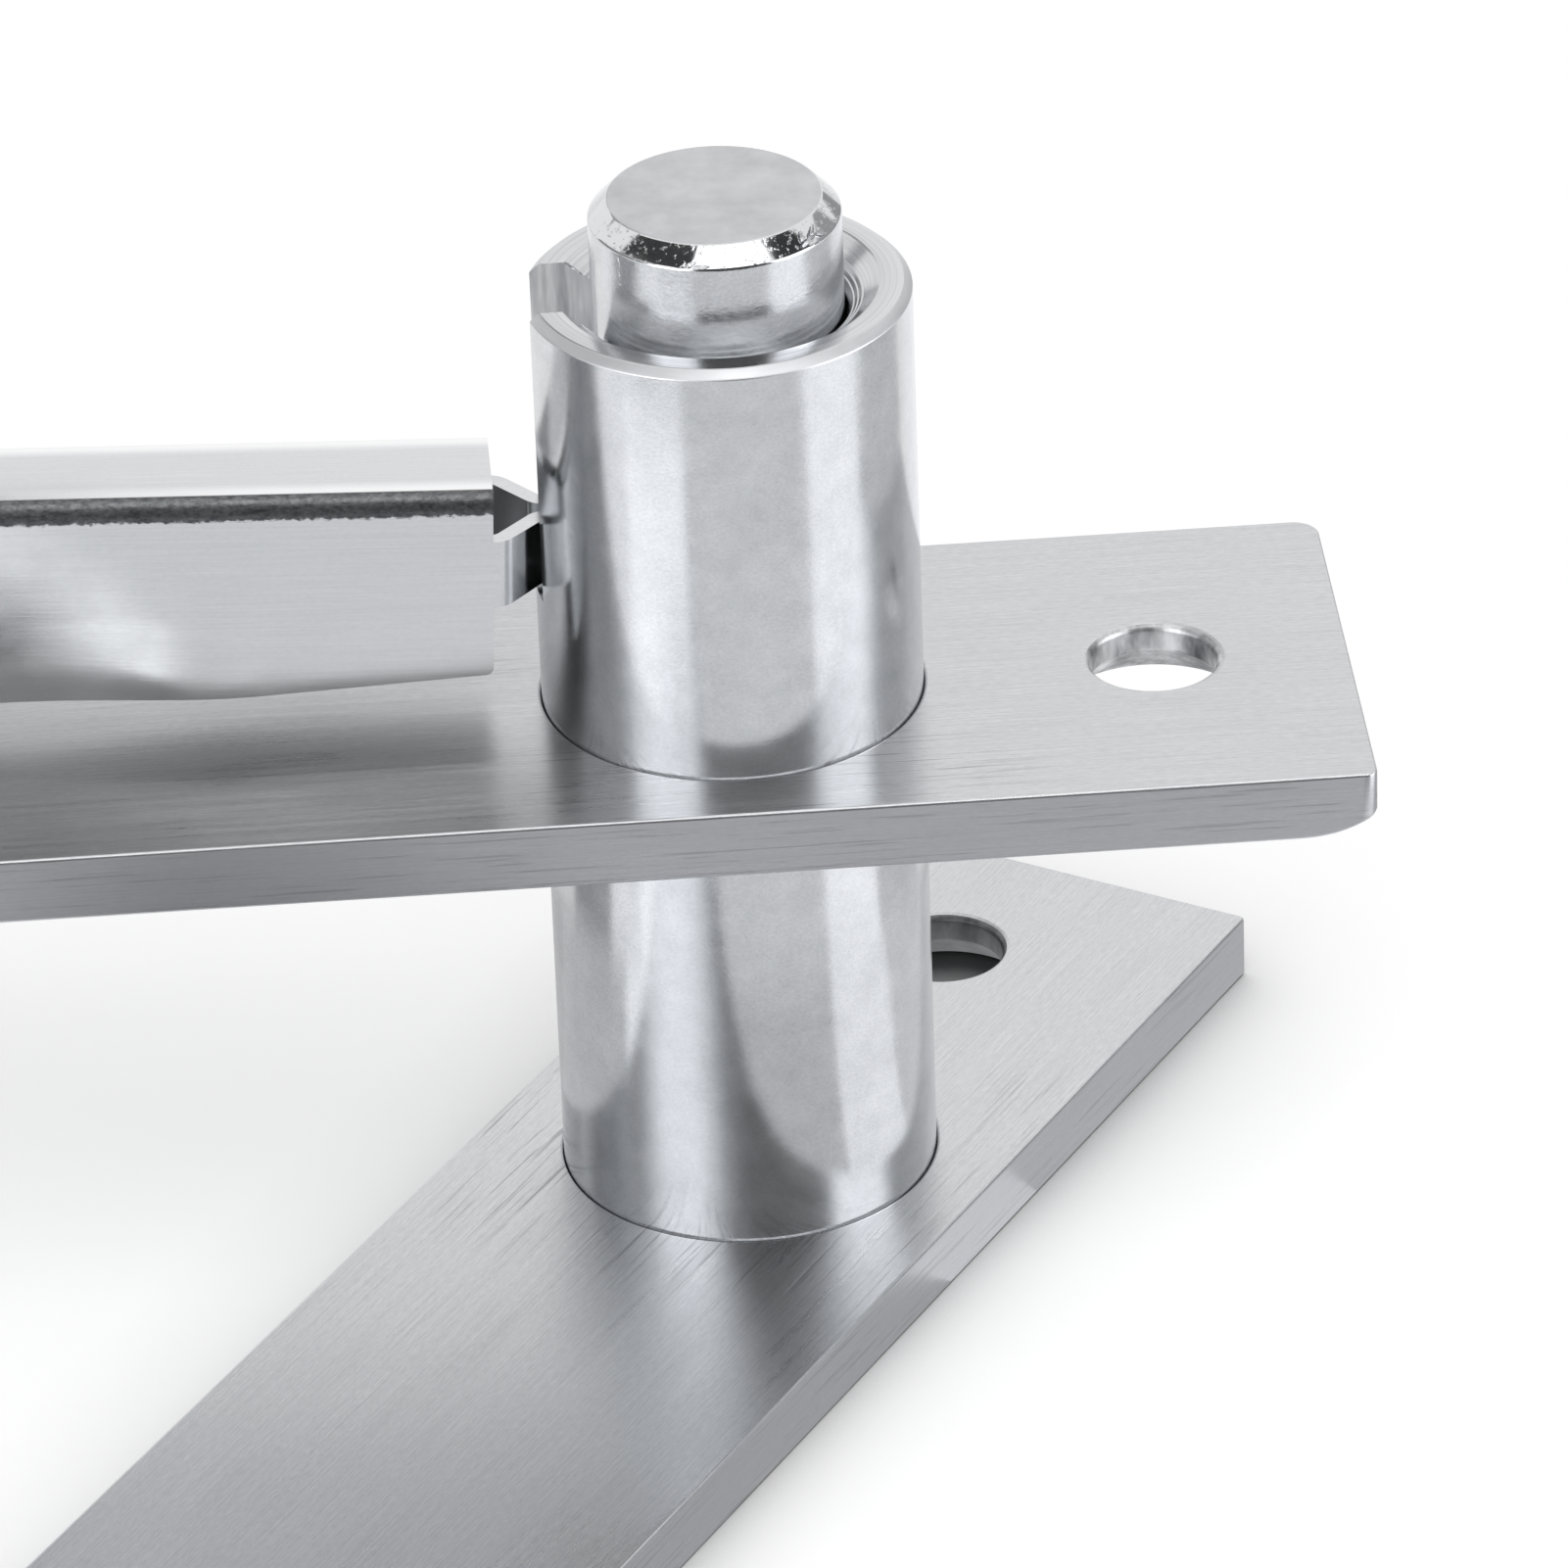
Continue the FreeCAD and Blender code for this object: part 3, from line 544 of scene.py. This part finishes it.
def countersink(x):
    """The cutter of a screw hole: a rounded rim, a straight part, and a cone to the underside."""
    shaft, sink = 3.65, 6.6
    rim_width, rim_depth = 0.55, 0.5
    rim = [(shaft + rim_width * (1 - math.cos(math.radians(a))),
            -rim_depth + rim_depth * math.sin(math.radians(a))) for a in range(0, 91, 15)]
    line = blended([(0, -4.6), (sink, -4.6), (shaft, -1.65), (shaft, -rim_depth)], 0.12)
    above = [(shaft + rim_width, 1), (0, 1)]
    return place(turned([tuple(point) for point in line] + rim[1:] + above, segments=128),
                 Matrix.Translation((x, 0, 0)))


def rivet_hole(x):
    """The cutter of a rivet's hole, widening to the underside."""
    return place(turned([(0, -4.52), (3.14, -4.52), (1.52, -2.9), (1.52, 1), (0, 1)], segments=96),
                 Matrix.Translation((x, 0, 0)))


def plate(name, far_end, far_hole, front_radius, back_radius, extra=()):
    """A flat bar with a seat for its barrel and two screw holes; its near corners are rounded."""
    bar = prism(corner_outline([
        (far_end, -PLATE_HALF_WIDTH, 0.35), (PLATE_NEAR, -PLATE_HALF_WIDTH, front_radius),
        (PLATE_NEAR, PLATE_HALF_WIDTH, back_radius), (far_end, PLATE_HALF_WIDTH, 0.35)]),
        -PLATE_THICKNESS, 0)
    # Each hole is cut into two faces that meet at its middle, since a face with a hole in it
    # can come out with the hole closed.
    for x in (far_hole, SCREW_X, REAR_RIVET, FRONT_RIVET, 0, NEAR_HOLE):
        bmesh.ops.bisect_plane(bar, geom=bar.verts[:] + bar.edges[:] + bar.faces[:],
                               plane_co=(x, 0, 0), plane_no=(1, 0, 0))
    cutters = [straight_hole(0, BARREL_RADIUS + 0.02, segments=192),
               countersink(NEAR_HOLE), countersink(far_hole)]
    return carved(name, bar, cutters + list(extra), edge=0.22)


def rolled_end(item, start, end, rise):
    """Draws in the lower edge of a sheared end."""
    steps = 10
    bm = bmesh.new()
    bm.from_mesh(item.data)
    for step in range(steps):
        bmesh.ops.bisect_plane(bm, geom=bm.verts[:] + bm.edges[:] + bm.faces[:],
                               plane_co=(start + (end - start) * step / steps, 0, 0),
                               plane_no=(1, 0, 0))
    for vert in bm.verts:
        along = max(0.0, (vert.co.x - start) / (end - start))
        vert.co.z += rise * along ** 2.5 * -vert.co.z / PLATE_THICKNESS
    bm.to_mesh(item.data)
    bm.free()


frame_plate = plate("frame_plate_brushed", FRAME_FAR, FRAME_HOLE, 0.7, 1.5, [
    straight_hole(SCREW_X, 2.2), straight_hole(SCREW_X, 3.8, -5, -1.8),
    rivet_hole(FRONT_RIVET), rivet_hole(REAR_RIVET)])
rolled_end(frame_plate, 30.8, PLATE_NEAR, 1.4)
choose(frame_plate, in_hole, 1)
finished(frame_plate, "frame", ["frame_plate"], [plate_steel, drilled_steel])

door_plate = plate("door_plate_brushed", DOOR_FAR, DOOR_HOLE, 0.35, 0.35)
door_plate.data.transform(Matrix.Translation((0, 0, DOOR_DROP)))
# The walls of the door leaf's holes take the painted shade.
choose(door_plate, in_hole, 1)
finished(door_plate, "door_leaf", ["door_plate"],
         [plate_steel, door_hole_shade_steel], DOOR_PLACE)


# Barrels

def on_cylinder(heading, height, radius):
    """A place on a cylinder round Z; the heading runs from the front (-Y) to the right (+X)."""
    heading = math.radians(heading)
    return Vector((radius * math.sin(heading), -radius * math.cos(heading), height))


def tube(bm, rows):
    """A closed skin over rows of points that lie round a line."""
    for row, following in zip(rows, rows[1:]):
        for k in range(len(row)):
            bm.faces.new((row[k - 1], row[k], following[k], following[k - 1]))
    bm.faces.new(rows[0])
    bm.faces.new(rows[-1])
    bmesh.ops.recalc_face_normals(bm, faces=bm.faces)
    return bm


def appended(item, bm, index):
    """Joins more faces to an object's mesh, in another material."""
    whole = bmesh.new()
    whole.from_mesh(item.data)
    for face in bm.faces:
        face.material_index = index
    extra = bpy.data.meshes.new("extra")
    bm.to_mesh(extra)
    bm.free()
    whole.from_mesh(extra)
    whole.to_mesh(item.data)
    whole.free()
    bpy.data.meshes.remove(extra)


# The slot stands off centre, as in the photo.
SLOT_MIDDLE = 0.5
SLOT_HALF = 3
BORE = 7.3

barrel_profile = blended([
    (BORE - 0.1, -4), (BARREL_RADIUS, -4), (BARREL_RADIUS, 25.52), (10.48, 26), (9.2, 26),
    (8.2, 25.1), (8.12, 25.11), (7.95, 24.88), (7.87, 24.89), (7.7, 24.65), (7.62, 24.66),
    (BORE, 24.2), (BORE, 6), (BORE - 0.1, 6)], 0.08, closed=True)
slot = prism([(-12, SLOT_MIDDLE - SLOT_HALF), (0, SLOT_MIDDLE - SLOT_HALF),
              (0, SLOT_MIDDLE + SLOT_HALF), (-12, SLOT_MIDDLE + SLOT_HALF)], 7.515, 27)
frame_barrel = carved("frame_barrel_turned", turned(barrel_profile, closed=True), [slot],
                      edge=0.14, angle=40)
# The end and the mouth, the outer bevel, and the walls of the slot.
choose(frame_barrel, lambda c, m: c.z > 24.1 and m.z > 0.3, 1)
choose(frame_barrel, lambda c, m: math.hypot(c.x, c.y) > 10.5 and 0.2 < m.z < 0.97 and c.z > 25, 3)
choose(frame_barrel, lambda c, m: c.x < -5 and abs(m.y) > 0.98
       and abs(abs(c.y - SLOT_MIDDLE) - SLOT_HALF) < 0.05, 2)
finished(frame_barrel, "frame", ["frame_barrel"],
         [barrel_steel, barrel_end_steel, milled_steel, barrel_bevel_steel])

door_profile = blended([(8.22, -35), (BARREL_RADIUS, -35), (BARREL_RADIUS, -5), (8.22, -5)],
                       0.25, closed=True)
door_barrel = carved("door_barrel_turned", turned(door_profile, closed=True), edge=0)
choose(door_barrel, lambda c, m: abs(m.z) > 0.3, 1)
finished(door_barrel, "door_leaf", ["door_barrel"],
         [barrel_steel, barrel_end_steel], DOOR_PLACE)


# Pivot pin

def burr(points, widths, heights, seed):
    """A torn ridge along points on a turned piece: ragged in width and height."""
    bm = bmesh.new()
    rows = []
    random = Random(seed)
    for k, point in enumerate(points):
        outward = Vector((point.x, point.y, 0)).normalized()
        beside = Vector((-outward.y, outward.x, 0))
        width = widths(k / (len(points) - 1)) * random.uniform(0.6, 1.25)
        height = heights(k / (len(points) - 1)) * random.uniform(0.3, 1.5)
        shift = random.uniform(-0.06, 0.06)
        section = ((-0.5, -0.06), (-0.3, 0.25 * height), (-0.12, height), (0.1, height * 0.8),
                   (0.3, height * 0.35), (0.6, -0.06))
        rows.append([bm.verts.new(point + beside * (at * width + shift) + outward * rise)
                     for at, rise in section])
    return tube(bm, rows)


def flake(heading, radius, height, length, width, lift, twist):
    """A thin torn lip of metal that stands off the pin's bevel."""
    bm = bmesh.new()
    random = Random(int(heading * 10) + 900)
    count = 9
    rows = []
    for k in range(count):
        t = k / (count - 1)
        swell = 0.35 + 0.65 * math.sin(math.pi * min(1, t * 1.15))
        half = width * swell * random.uniform(0.7, 1.2) / 2
        rise = lift * math.sin(math.pi * t) * random.uniform(0.7, 1.3)
        rows.append([bm.verts.new(((t - 0.5) * length, side * half, rise + thick))
                     for side, thick in ((-1, 0.0), (1, 0.02), (1, 0.07), (-1, 0.05))])
    return place(tube(bm, rows), (
        Matrix.Translation(on_cylinder(heading, height, radius))
        @ Matrix.Rotation(math.radians(heading), 4, "Z")
        @ Matrix.Rotation(math.radians(45), 4, "X")
        @ Matrix.Rotation(math.radians(twist), 4, "Z")))


pin_profile = blended([
    (0, -14), (6.05, -14), (PIN_RADIUS, -12.9), (PIN_RADIUS, 30.4), (6.05, 31.5), (0, 31.5)], 0.12)
notch = prism([(-9, -1.85), (-2.87, -1.85), (-2.87, 1.85), (-9, 1.85)], 7.565, 12.565)
pivot_pin = carved("pivot_pin_turned", turned(pin_profile), [notch], edge=0.12, angle=50)
# The bevels, and the flat ends.
choose(pivot_pin, lambda c, m: abs(m.z) > 0.3 and (c.z > 30.3 or c.z < -12.8), 1)
choose(pivot_pin, lambda c, m: abs(m.z) > 0.9 and (c.z > 31.3 or c.z < -13.8), 2)
for values in ((46, 6.9, 30.72, 1.5, 0.30, 0.12, 12), (50, 6.7, 30.95, 1.1, 0.22, 0.10, 35),
               (55, 6.95, 30.65, 0.9, 0.25, 0.10, -30), (43, 6.6, 31.0, 0.7, 0.18, 0.06, 60),
               (-10, 7.0, 30.52, 1.0, 0.35, 0.05, 5), (-14, 6.85, 30.65, 0.6, 0.22, 0.05, 40)):
    appended(pivot_pin, flake(*values), 3)
scar = [on_cylinder(-52, 30.2 - 1.75 * k / 24, PIN_RADIUS) for k in range(25)]
appended(pivot_pin, burr(scar, lambda t: 0.16 * (1.1 - t), lambda t: 0.035, 3), 3)
finished(pivot_pin, "pin", ["pivot_pin"],
         [pin_steel, pin_bevel_steel, pin_end_steel, burr_steel])


# Lever

# The channel's web lies up at 8.0, its flanges out at 3.9; x runs from the fulcrum to the nose.
LEVER_CORNERS = [(-27.5, -1), (-17, -1), (-5, -4.8), (10.4, -4.8), (23.8, -4.4), (38.4, -3.25)]
TAIL, NOSE = LEVER_CORNERS[0][0], LEVER_CORNERS[-1][0]
TAIL_ROUND, NOSE_ROUND = 2.5, 0.4
TAIL_START, NOSE_START = -25, 38.0
FLANGE_OUT = 3.9
FLANGE_TOP = 6.7
SHEET = 1.0
TONGUE_ROWS = (5.05, 3.0, 0.95)
TONGUE_OUT = 1.4
TONGUE_TIP = 48.5


def belly(x):
    """Height of the flanges' lower edge, with its corners eased and its two ends rounded."""
    def straight(at):
        at = min(max(at, TAIL), NOSE)
        for (x0, z0), (x1, z1) in zip(LEVER_CORNERS, LEVER_CORNERS[1:]):
            if at <= x1:
                return z0 + (z1 - z0) * (at - x0) / (x1 - x0)
        return LEVER_CORNERS[-1][1]

    def rounded(radius, past):
        return radius - math.sqrt(max(0, radius ** 2 - past ** 2))

    if x > NOSE_START:
        return straight(x) + rounded(NOSE_ROUND, x - NOSE_START)
    if x < TAIL_START:
        return straight(x) + rounded(TAIL_ROUND, x - TAIL_START)
    if x > 36:
        return straight(x)
    return sum(straight(x + d) for d in (-1.5, -1, -0.5, 0, 0.5, 1, 1.5)) / 7


def lean(x, z):
    """How far a flange leans outward: none at the fulcrum, a bit inward, then out at the nose."""
    def eased(start, end):
        t = min(1, max(0, (x - start) / (end - start)))
        return t * t * (3 - 2 * t)

    angle = -1.2 * eased(7.5, 11) + 4.4 * eased(11.5, 24)
    return max(0, FLANGE_TOP - z) * math.tan(math.radians(angle))


def tongue_path():
    """The tongue's outer line in plan: bent in round one circle, back round another, straight."""
    bend = math.radians(48)
    inward, back = 1.4, 0.55
    first = (38.5, FLANGE_OUT - inward)
    span = inward + back
    reach = (back + span * math.cos(bend)) / math.tan(bend) + span * math.sin(bend)
    second = (first[0] + reach, TONGUE_OUT + back)
    path = []
    for centre, radius, start, end, sign in (
            (first, inward, 0.06, bend, 1), (second, back, bend, 0, -1)):
        for step in range(9):
            angle = start + (end - start) * step / 8
            path.append((centre[0] + sign * radius * math.sin(angle),
                         centre[1] + sign * radius * math.cos(angle)))
    straight_from = 41.8
    return path + [(straight_from + (TONGUE_TIP - straight_from) * t, TONGUE_OUT)
                   for t in (0.35, 0.7, 1.0)]


def lever_mesh():
    """The outer skin of the channel and its tongues."""
    stations = [TAIL_START - TAIL_ROUND * math.sin(math.radians(a)) for a in range(90, 0, -9)]
    stations += [TAIL_START + 1.0 * k for k in range(0, 63)] + [37.6]
    stations += [NOSE_START + NOSE_ROUND * math.sin(math.radians(a)) for a in range(0, 91, 15)]
    arc = [(2.9 + math.sin(math.radians(a)), FLANGE_TOP + 1.26 * math.cos(math.radians(a)))
           for a in range(10, 91, 10)]
    half = [(0.0, 8.0), (1.2, 8.0), (2.2, 7.99), (2.9, 7.95)] + arc
    tongue_root = len(half)
    half += [(FLANGE_OUT, z) for z in TONGUE_ROWS + (0.0,)]
    bm = bmesh.new()
    columns = []
    for x in stations:
        section = [(y, max(z, belly(x))) for y, z in half] + [(FLANGE_OUT, belly(x))]
        right = [bm.verts.new((x, y + lean(x, z), z)) for y, z in section]
        left = [right[0]] + [bm.verts.new((x, -y - lean(x, z), z)) for y, z in section[1:]]
        columns.append((right, left))
    for (right, left), (right_n, left_n) in zip(columns, columns[1:]):
        for side, side_n in ((right, right_n), (left, left_n)):
            for k in range(len(side) - 1):
                bm.faces.new((side[k], side[k + 1], side_n[k + 1], side_n[k]))
    for sign, side in ((1, columns[-1][0]), (-1, columns[-1][1])):
        strip = side[tongue_root:tongue_root + len(TONGUE_ROWS)]
        for x, y in tongue_path():
            fade = max(0.0, 1 - (x - NOSE) / 3.0)
            following = [bm.verts.new((x, sign * (y + lean(NOSE, z) * fade), z))
                         for z in TONGUE_ROWS]
            for k in (0, 1):
                bm.faces.new((strip[k], strip[k + 1], following[k + 1], following[k]))
            strip = following
    bmesh.ops.remove_doubles(bm, verts=bm.verts, dist=0.001)
    bmesh.ops.recalc_face_normals(bm, faces=bm.faces)
    web = [face for face in bm.faces if face.calc_center_median().z > 7.9]
    if sum(face.normal.z for face in web) < 0:
        bmesh.ops.reverse_faces(bm, faces=bm.faces)
    return bm


lever_skin = raw_object("lever_pressed", lever_mesh())
sheet = lever_skin.modifiers.new("sheet", "SOLIDIFY")
sheet.thickness = SHEET
sheet.offset = -1
sheet.use_even_offset = True
sheet.use_quality_normals = True
baked(lever_skin)
lever_bm = bmesh.new()
lever_bm.from_mesh(lever_skin.data)
bpy.data.objects.remove(lever_skin)
# The fulcrum pin's hole, the journals' slots and the screw's opening in the web.
lever_cutters = [
    along_y(prism(obround(0, 2.05, 32), -6, 6)),
    along_y(prism(obround(0.7, 1.55, 24), -6, 6), -21.977, 3.397),
    place(prism(obround(2.0, 2.4, 24), 6.0, 9.0), Matrix.Translation((-21.677, 0, 0))),
]
lever = carved("lever_pressed", lever_bm, lever_cutters, edge=0.14, angle=38)
finished(lever, "beam", ["lever"], [lever_steel], LEVER_PLACE)


# Rivets with domed heads

for label, x in (("front", FRONT_RIVET), ("rear", REAR_RIVET)):
    dome = [(2.4 * math.cos(math.radians(a)), 2.25 + 1.15 * math.sin(math.radians(a)))
            for a in range(0, 91, 9)]
    foot = blended([(0, -4), (2.6, -4), (1.5, -2.9), (1.5, 2.0), (2.4, 2.0), dome[0]], 0.08)
    profile = [tuple(point) for point in foot] + dome[1:-1] + [(0, 3.4)]
    rivet = carved("rivet_" + label, turned(profile, segments=96), edge=0)
    finished(rivet, "frame", ["bracket_rivet_" + label], [fastener_steel],
             Matrix.Translation((x * MM, 0, 0)))


# Adjusting screw

def screw_mesh(pitch=0.7, crest=2.0, root=1.57, low=1.9, high=18.7):
    """A cylinder whose radius follows a helix, with a plain shank, groove and head below."""
    segments, rows_a_turn = 48, 12
    run_in, tip_height = 0.8, 0.45
    bm = bmesh.new()
    head = blended([(0, -3.8), (3.5, -3.8), (3.5, -1.8), (2.0, -1.8), (2.0, 0.8), (1.55, 0.8),
                    (1.55, 1.46), (2.0, 1.46), (2.0, 1.6)], 0.12)
    rings = [[bm.verts.new((0, 0, head[0][1]))]]
    rings += [ring(bm, [radius] * segments, height) for radius, height in head[1:]]
    count = int((high - low) / pitch * rows_a_turn)
    for row in range(count + 1):
        height = low + (high - low) * row / count
        fade = min(1.0, (height - low) / run_in)
        tip = max(0.0, tip_height - (high - height)) * 0.9
        radii = []
        for k in range(segments):
            phase = (height / pitch - k / segments) % 1.0
            wave = min(1.0, max(0.0, 1.3 - abs(phase - 0.5) * 2.7))
            depth = (crest - root) * (1 - wave)
            radii.append(min(crest - depth * fade, crest - tip))
        rings.append(ring(bm, radii, height))
    rings.append([bm.verts.new((0, 0, high))])
    skin(bm, rings)
    return bm


hexagon = [(1.443 * math.cos(math.radians(a)), 1.443 * math.sin(math.radians(a)))
           for a in range(0, 360, 60)]
screw = carved("adjusting_screw_threaded", screw_mesh(), [prism(hexagon, -5, -2.5)], edge=0)
finished(screw, "screw", ["adjusting_screw"], [fastener_steel],
         Matrix.Translation((SCREW_X * MM, 0, 0)), sharp=60)


# CAD nodes that keep their shape

for node, material in (
        ("fulcrum_bracket", plate_steel), ("fulcrum_pin", fastener_steel),
        ("fulcrum_clip", spring_steel), ("trunnion_nut", fastener_steel),
        ("screw_washer", fastener_steel), ("screw_clip", spring_steel),
        ("thrust_washer", bronze), ("door_bush", bronze)):
    for material_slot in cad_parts[node].material_slots:
        material_slot.material = material


# Floor, light and camera

def paper(name, diffuse, glow):
    """White paper that shows as the white background, with painted shade in tight gaps, where
    ambient occlusion darkens its colour and its glow.
    """
    n = Nodes(bpy.data.materials.new(name))
    gap = n.add("ShaderNodeAmbientOcclusion", samples=4)
    n.feed(gap.inputs["Distance"], 0.012)
    openness = gap.outputs["AO"]
    surface = n.add("ShaderNodeBsdfDiffuse")
    # Painted shade: the colour turns dark grey where ambient occlusion finds a tight gap.
    n.feed(surface.inputs[0], n.blend(n.ranged(openness, 0.2, 0.5), (0.16, 0.16, 0.16, 1),
                                      (diffuse, diffuse, diffuse, 1)))
    light = n.add("ShaderNodeEmission")
    # Painted shade: the glow fades in the same gaps.
    shown = n.times(n.seen(), n.ranged(openness, 0.45, 0.95))
    n.feed(light.inputs["Strength"], n.times(shown, glow))
    both = n.add("ShaderNodeAddShader")
    n.feed(both.inputs[0], surface.outputs[0])
    n.feed(both.inputs[1], light.outputs[0])
    n.feed(n.output.inputs[0], both.outputs[0])
    n.owner.cycles.emission_sampling = "NONE"
    return n.owner


FLOOR = -0.03502
CARD_FLOOR = -0.0348

# The floor touches the door leaf, and the cards on it lie just above.
floor_bm = bmesh.new()
bmesh.ops.create_circle(floor_bm, cap_ends=True, segments=96, radius=6.0)
floor = raw_object("floor", floor_bm)
floor.location = (0, 0, FLOOR)
floor.data.materials.append(paper("floor_paper", 0.7, 0.44))


def grey(name, level):
    """A faintly blue grey that shines by itself and lights nothing."""
    n = Nodes(bpy.data.materials.new(name))
    light = n.add("ShaderNodeEmission")
    n.feed(light.inputs[0], (level, level * 1.01, level * 1.03, 1))
    n.feed(n.output.inputs[0], light.outputs[0])
    n.owner.cycles.emission_sampling = "NONE"
    return n.owner


def card(name, corners, level):
    """A flat card that only reflections see."""
    bm = bmesh.new()
    bm.faces.new([bm.verts.new(corner) for corner in corners])
    item = raw_object(name, bm)
    item.data.materials.append(grey(name, level))
    item.visible_camera = False
    item.visible_diffuse = False
    item.visible_shadow = False
    item.visible_transmission = False


def towards(azimuth, elevation, distance):
    """A place seen from the barrel; azimuth runs from the front (-Y) to the right (+X)."""
    azimuth, elevation = math.radians(azimuth), math.radians(elevation)
    return distance * Vector((
        math.cos(elevation) * math.sin(azimuth),
        -math.cos(elevation) * math.cos(azimuth),
        math.sin(elevation)))


def lying(start, end, near, far):
    """Corners of a sector that lies on the floor round the barrel's axis."""
    angles = [math.radians(start + (end - start) * k / 8) for k in range(9)]
    return [Vector((r * math.sin(a), -r * math.cos(a), CARD_FLOOR))
            for r, turn in ((near, angles), (far, angles[::-1])) for a in turn]


def band(name, azimuths, elevations, distance, level):
    """A card between two azimuths, its lower and upper edge each given at both ends."""
    (start, end), (low_start, low_end, high_end, high_start) = azimuths, elevations
    card(name, [towards(start, low_start, distance), towards(end, low_end, distance),
                towards(end, high_end, distance), towards(start, high_start, distance)], level)


band("dark_front", (-24, 46), (-4, -3, 48, 52), 0.52, 0.07)
band("dark_left", (-104, -32), (33, 46, 68, 50), 0.60, 0.05)
band("dark_right", (62, 97), (42, 28, 46, 60), 0.60, 0.05)
band("low_left_back", (-125, -66), (0, 0, 37, 21), 0.80, 0.30)
band("low_right_back", (88, 130), (0, 0, 26, 31), 0.80, 0.38)
band("low_back", (100, 150), (-4, -4, 12, 12), 0.60, 0.35)
card("high_back", [(-0.60, 0.5, 0.325), (-0.02, 0.5, 0.335),
                   (-0.02, 0.5, 0.9), (-0.60, 0.5, 0.9)], 0.42)
band("box_left", (-64, -24), (0, 0, 46, 38), 0.70, 1.8)
band("box_right", (48, 90), (0, 0, 28, 42), 0.70, 1.7)
# Sectors of the floor that only reflections see, glowing as painted light and painted shade on the
# floor: from and to an azimuth, from and to a distance, and the grey level.
for number, (start, end, near, far, level) in enumerate((
        (-112, -80, 0.045, 0.121, 0.36), (-80, -60, 0.045, 0.121, 1.06),
        (-60, -26, 0.045, 0.121, 1.40), (-26, 45, 0.045, 0.121, 0.80),
        (45, 80, 0.045, 0.121, 1.25), (80, 122, 0.045, 0.121, 0.68),
        (-125, -56, 0.121, 0.20, 1.10), (-56, 43, 0.121, 0.42, 0.78),
        (43, 84, 0.121, 0.20, 1.25), (84, 122, 0.121, 0.20, 0.64),
        (132, 176, 0.045, 0.18, 1.05), (-130, -70, 0.014, 0.045, 0.62),
        (-70, -26, 0.014, 0.045, 1.20), (-26, 45, 0.014, 0.045, 0.62),
        (45, 84, 0.014, 0.045, 1.10), (84, 130, 0.014, 0.045, 0.78),
        (130, 230, 0.014, 0.045, 0.55))):
    card("floor_%d" % number, lying(start, end, near, far), level)

for name, azimuth, elevation, distance, width, height, watts in (
        ("lamp_left", -46, 8, 0.62, 0.30, 0.40, 1.3),
        ("lamp_right", 68, 8, 0.62, 0.34, 0.40, 1.5),
        ("lamp_above", 12, 60, 0.70, 0.70, 0.36, 1.2)):
    light = bpy.data.lights.new(name, "AREA")
    light.shape = "RECTANGLE"
    light.size = width
    light.size_y = height
    light.energy = watts
    lamp = bpy.data.objects.new(name, light)
    lamp.location = towards(azimuth, elevation, distance)
    lamp.rotation_euler = lamp.location.to_track_quat("Z", "Y").to_euler()
    lamp.visible_camera = False
    bpy.context.scene.collection.objects.link(lamp)

world = Nodes(bpy.data.worlds.new("studio"), "ShaderNodeOutputWorld")
background = world.add("ShaderNodeBackground")
world.feed(background.inputs["Color"], (1, 1, 1, 1))
world.feed(background.inputs["Strength"], world.ranged(world.seen(), 0.0, 1.0, 0.6, 1.0))
world.feed(world.output.inputs[0], background.outputs[0])
bpy.context.scene.world = world.owner

camera_data = bpy.data.cameras.new("camera")
camera_data.lens = 238.3
camera_data.sensor_width = 36
camera_data.clip_start = 0.02
camera_data.clip_end = 20
camera = bpy.data.objects.new("camera", camera_data)
bpy.context.scene.collection.objects.link(camera)
forward = Vector((0.0483, 0.8626, -0.5036)).normalized()
right = forward.cross(Vector((0, 0, 1))).normalized()
up = right.cross(forward)
roll = -0.0360
across = right * math.cos(roll) + up * math.sin(roll)
above = up * math.cos(roll) - right * math.sin(roll)
view = Matrix((across, above, -forward)).transposed().to_4x4()
view.translation = Vector((-0.02624, -0.51773, 0.29534))
camera.matrix_world = view
bpy.context.scene.camera = camera

bpy.context.scene.view_settings.view_transform = "Standard"
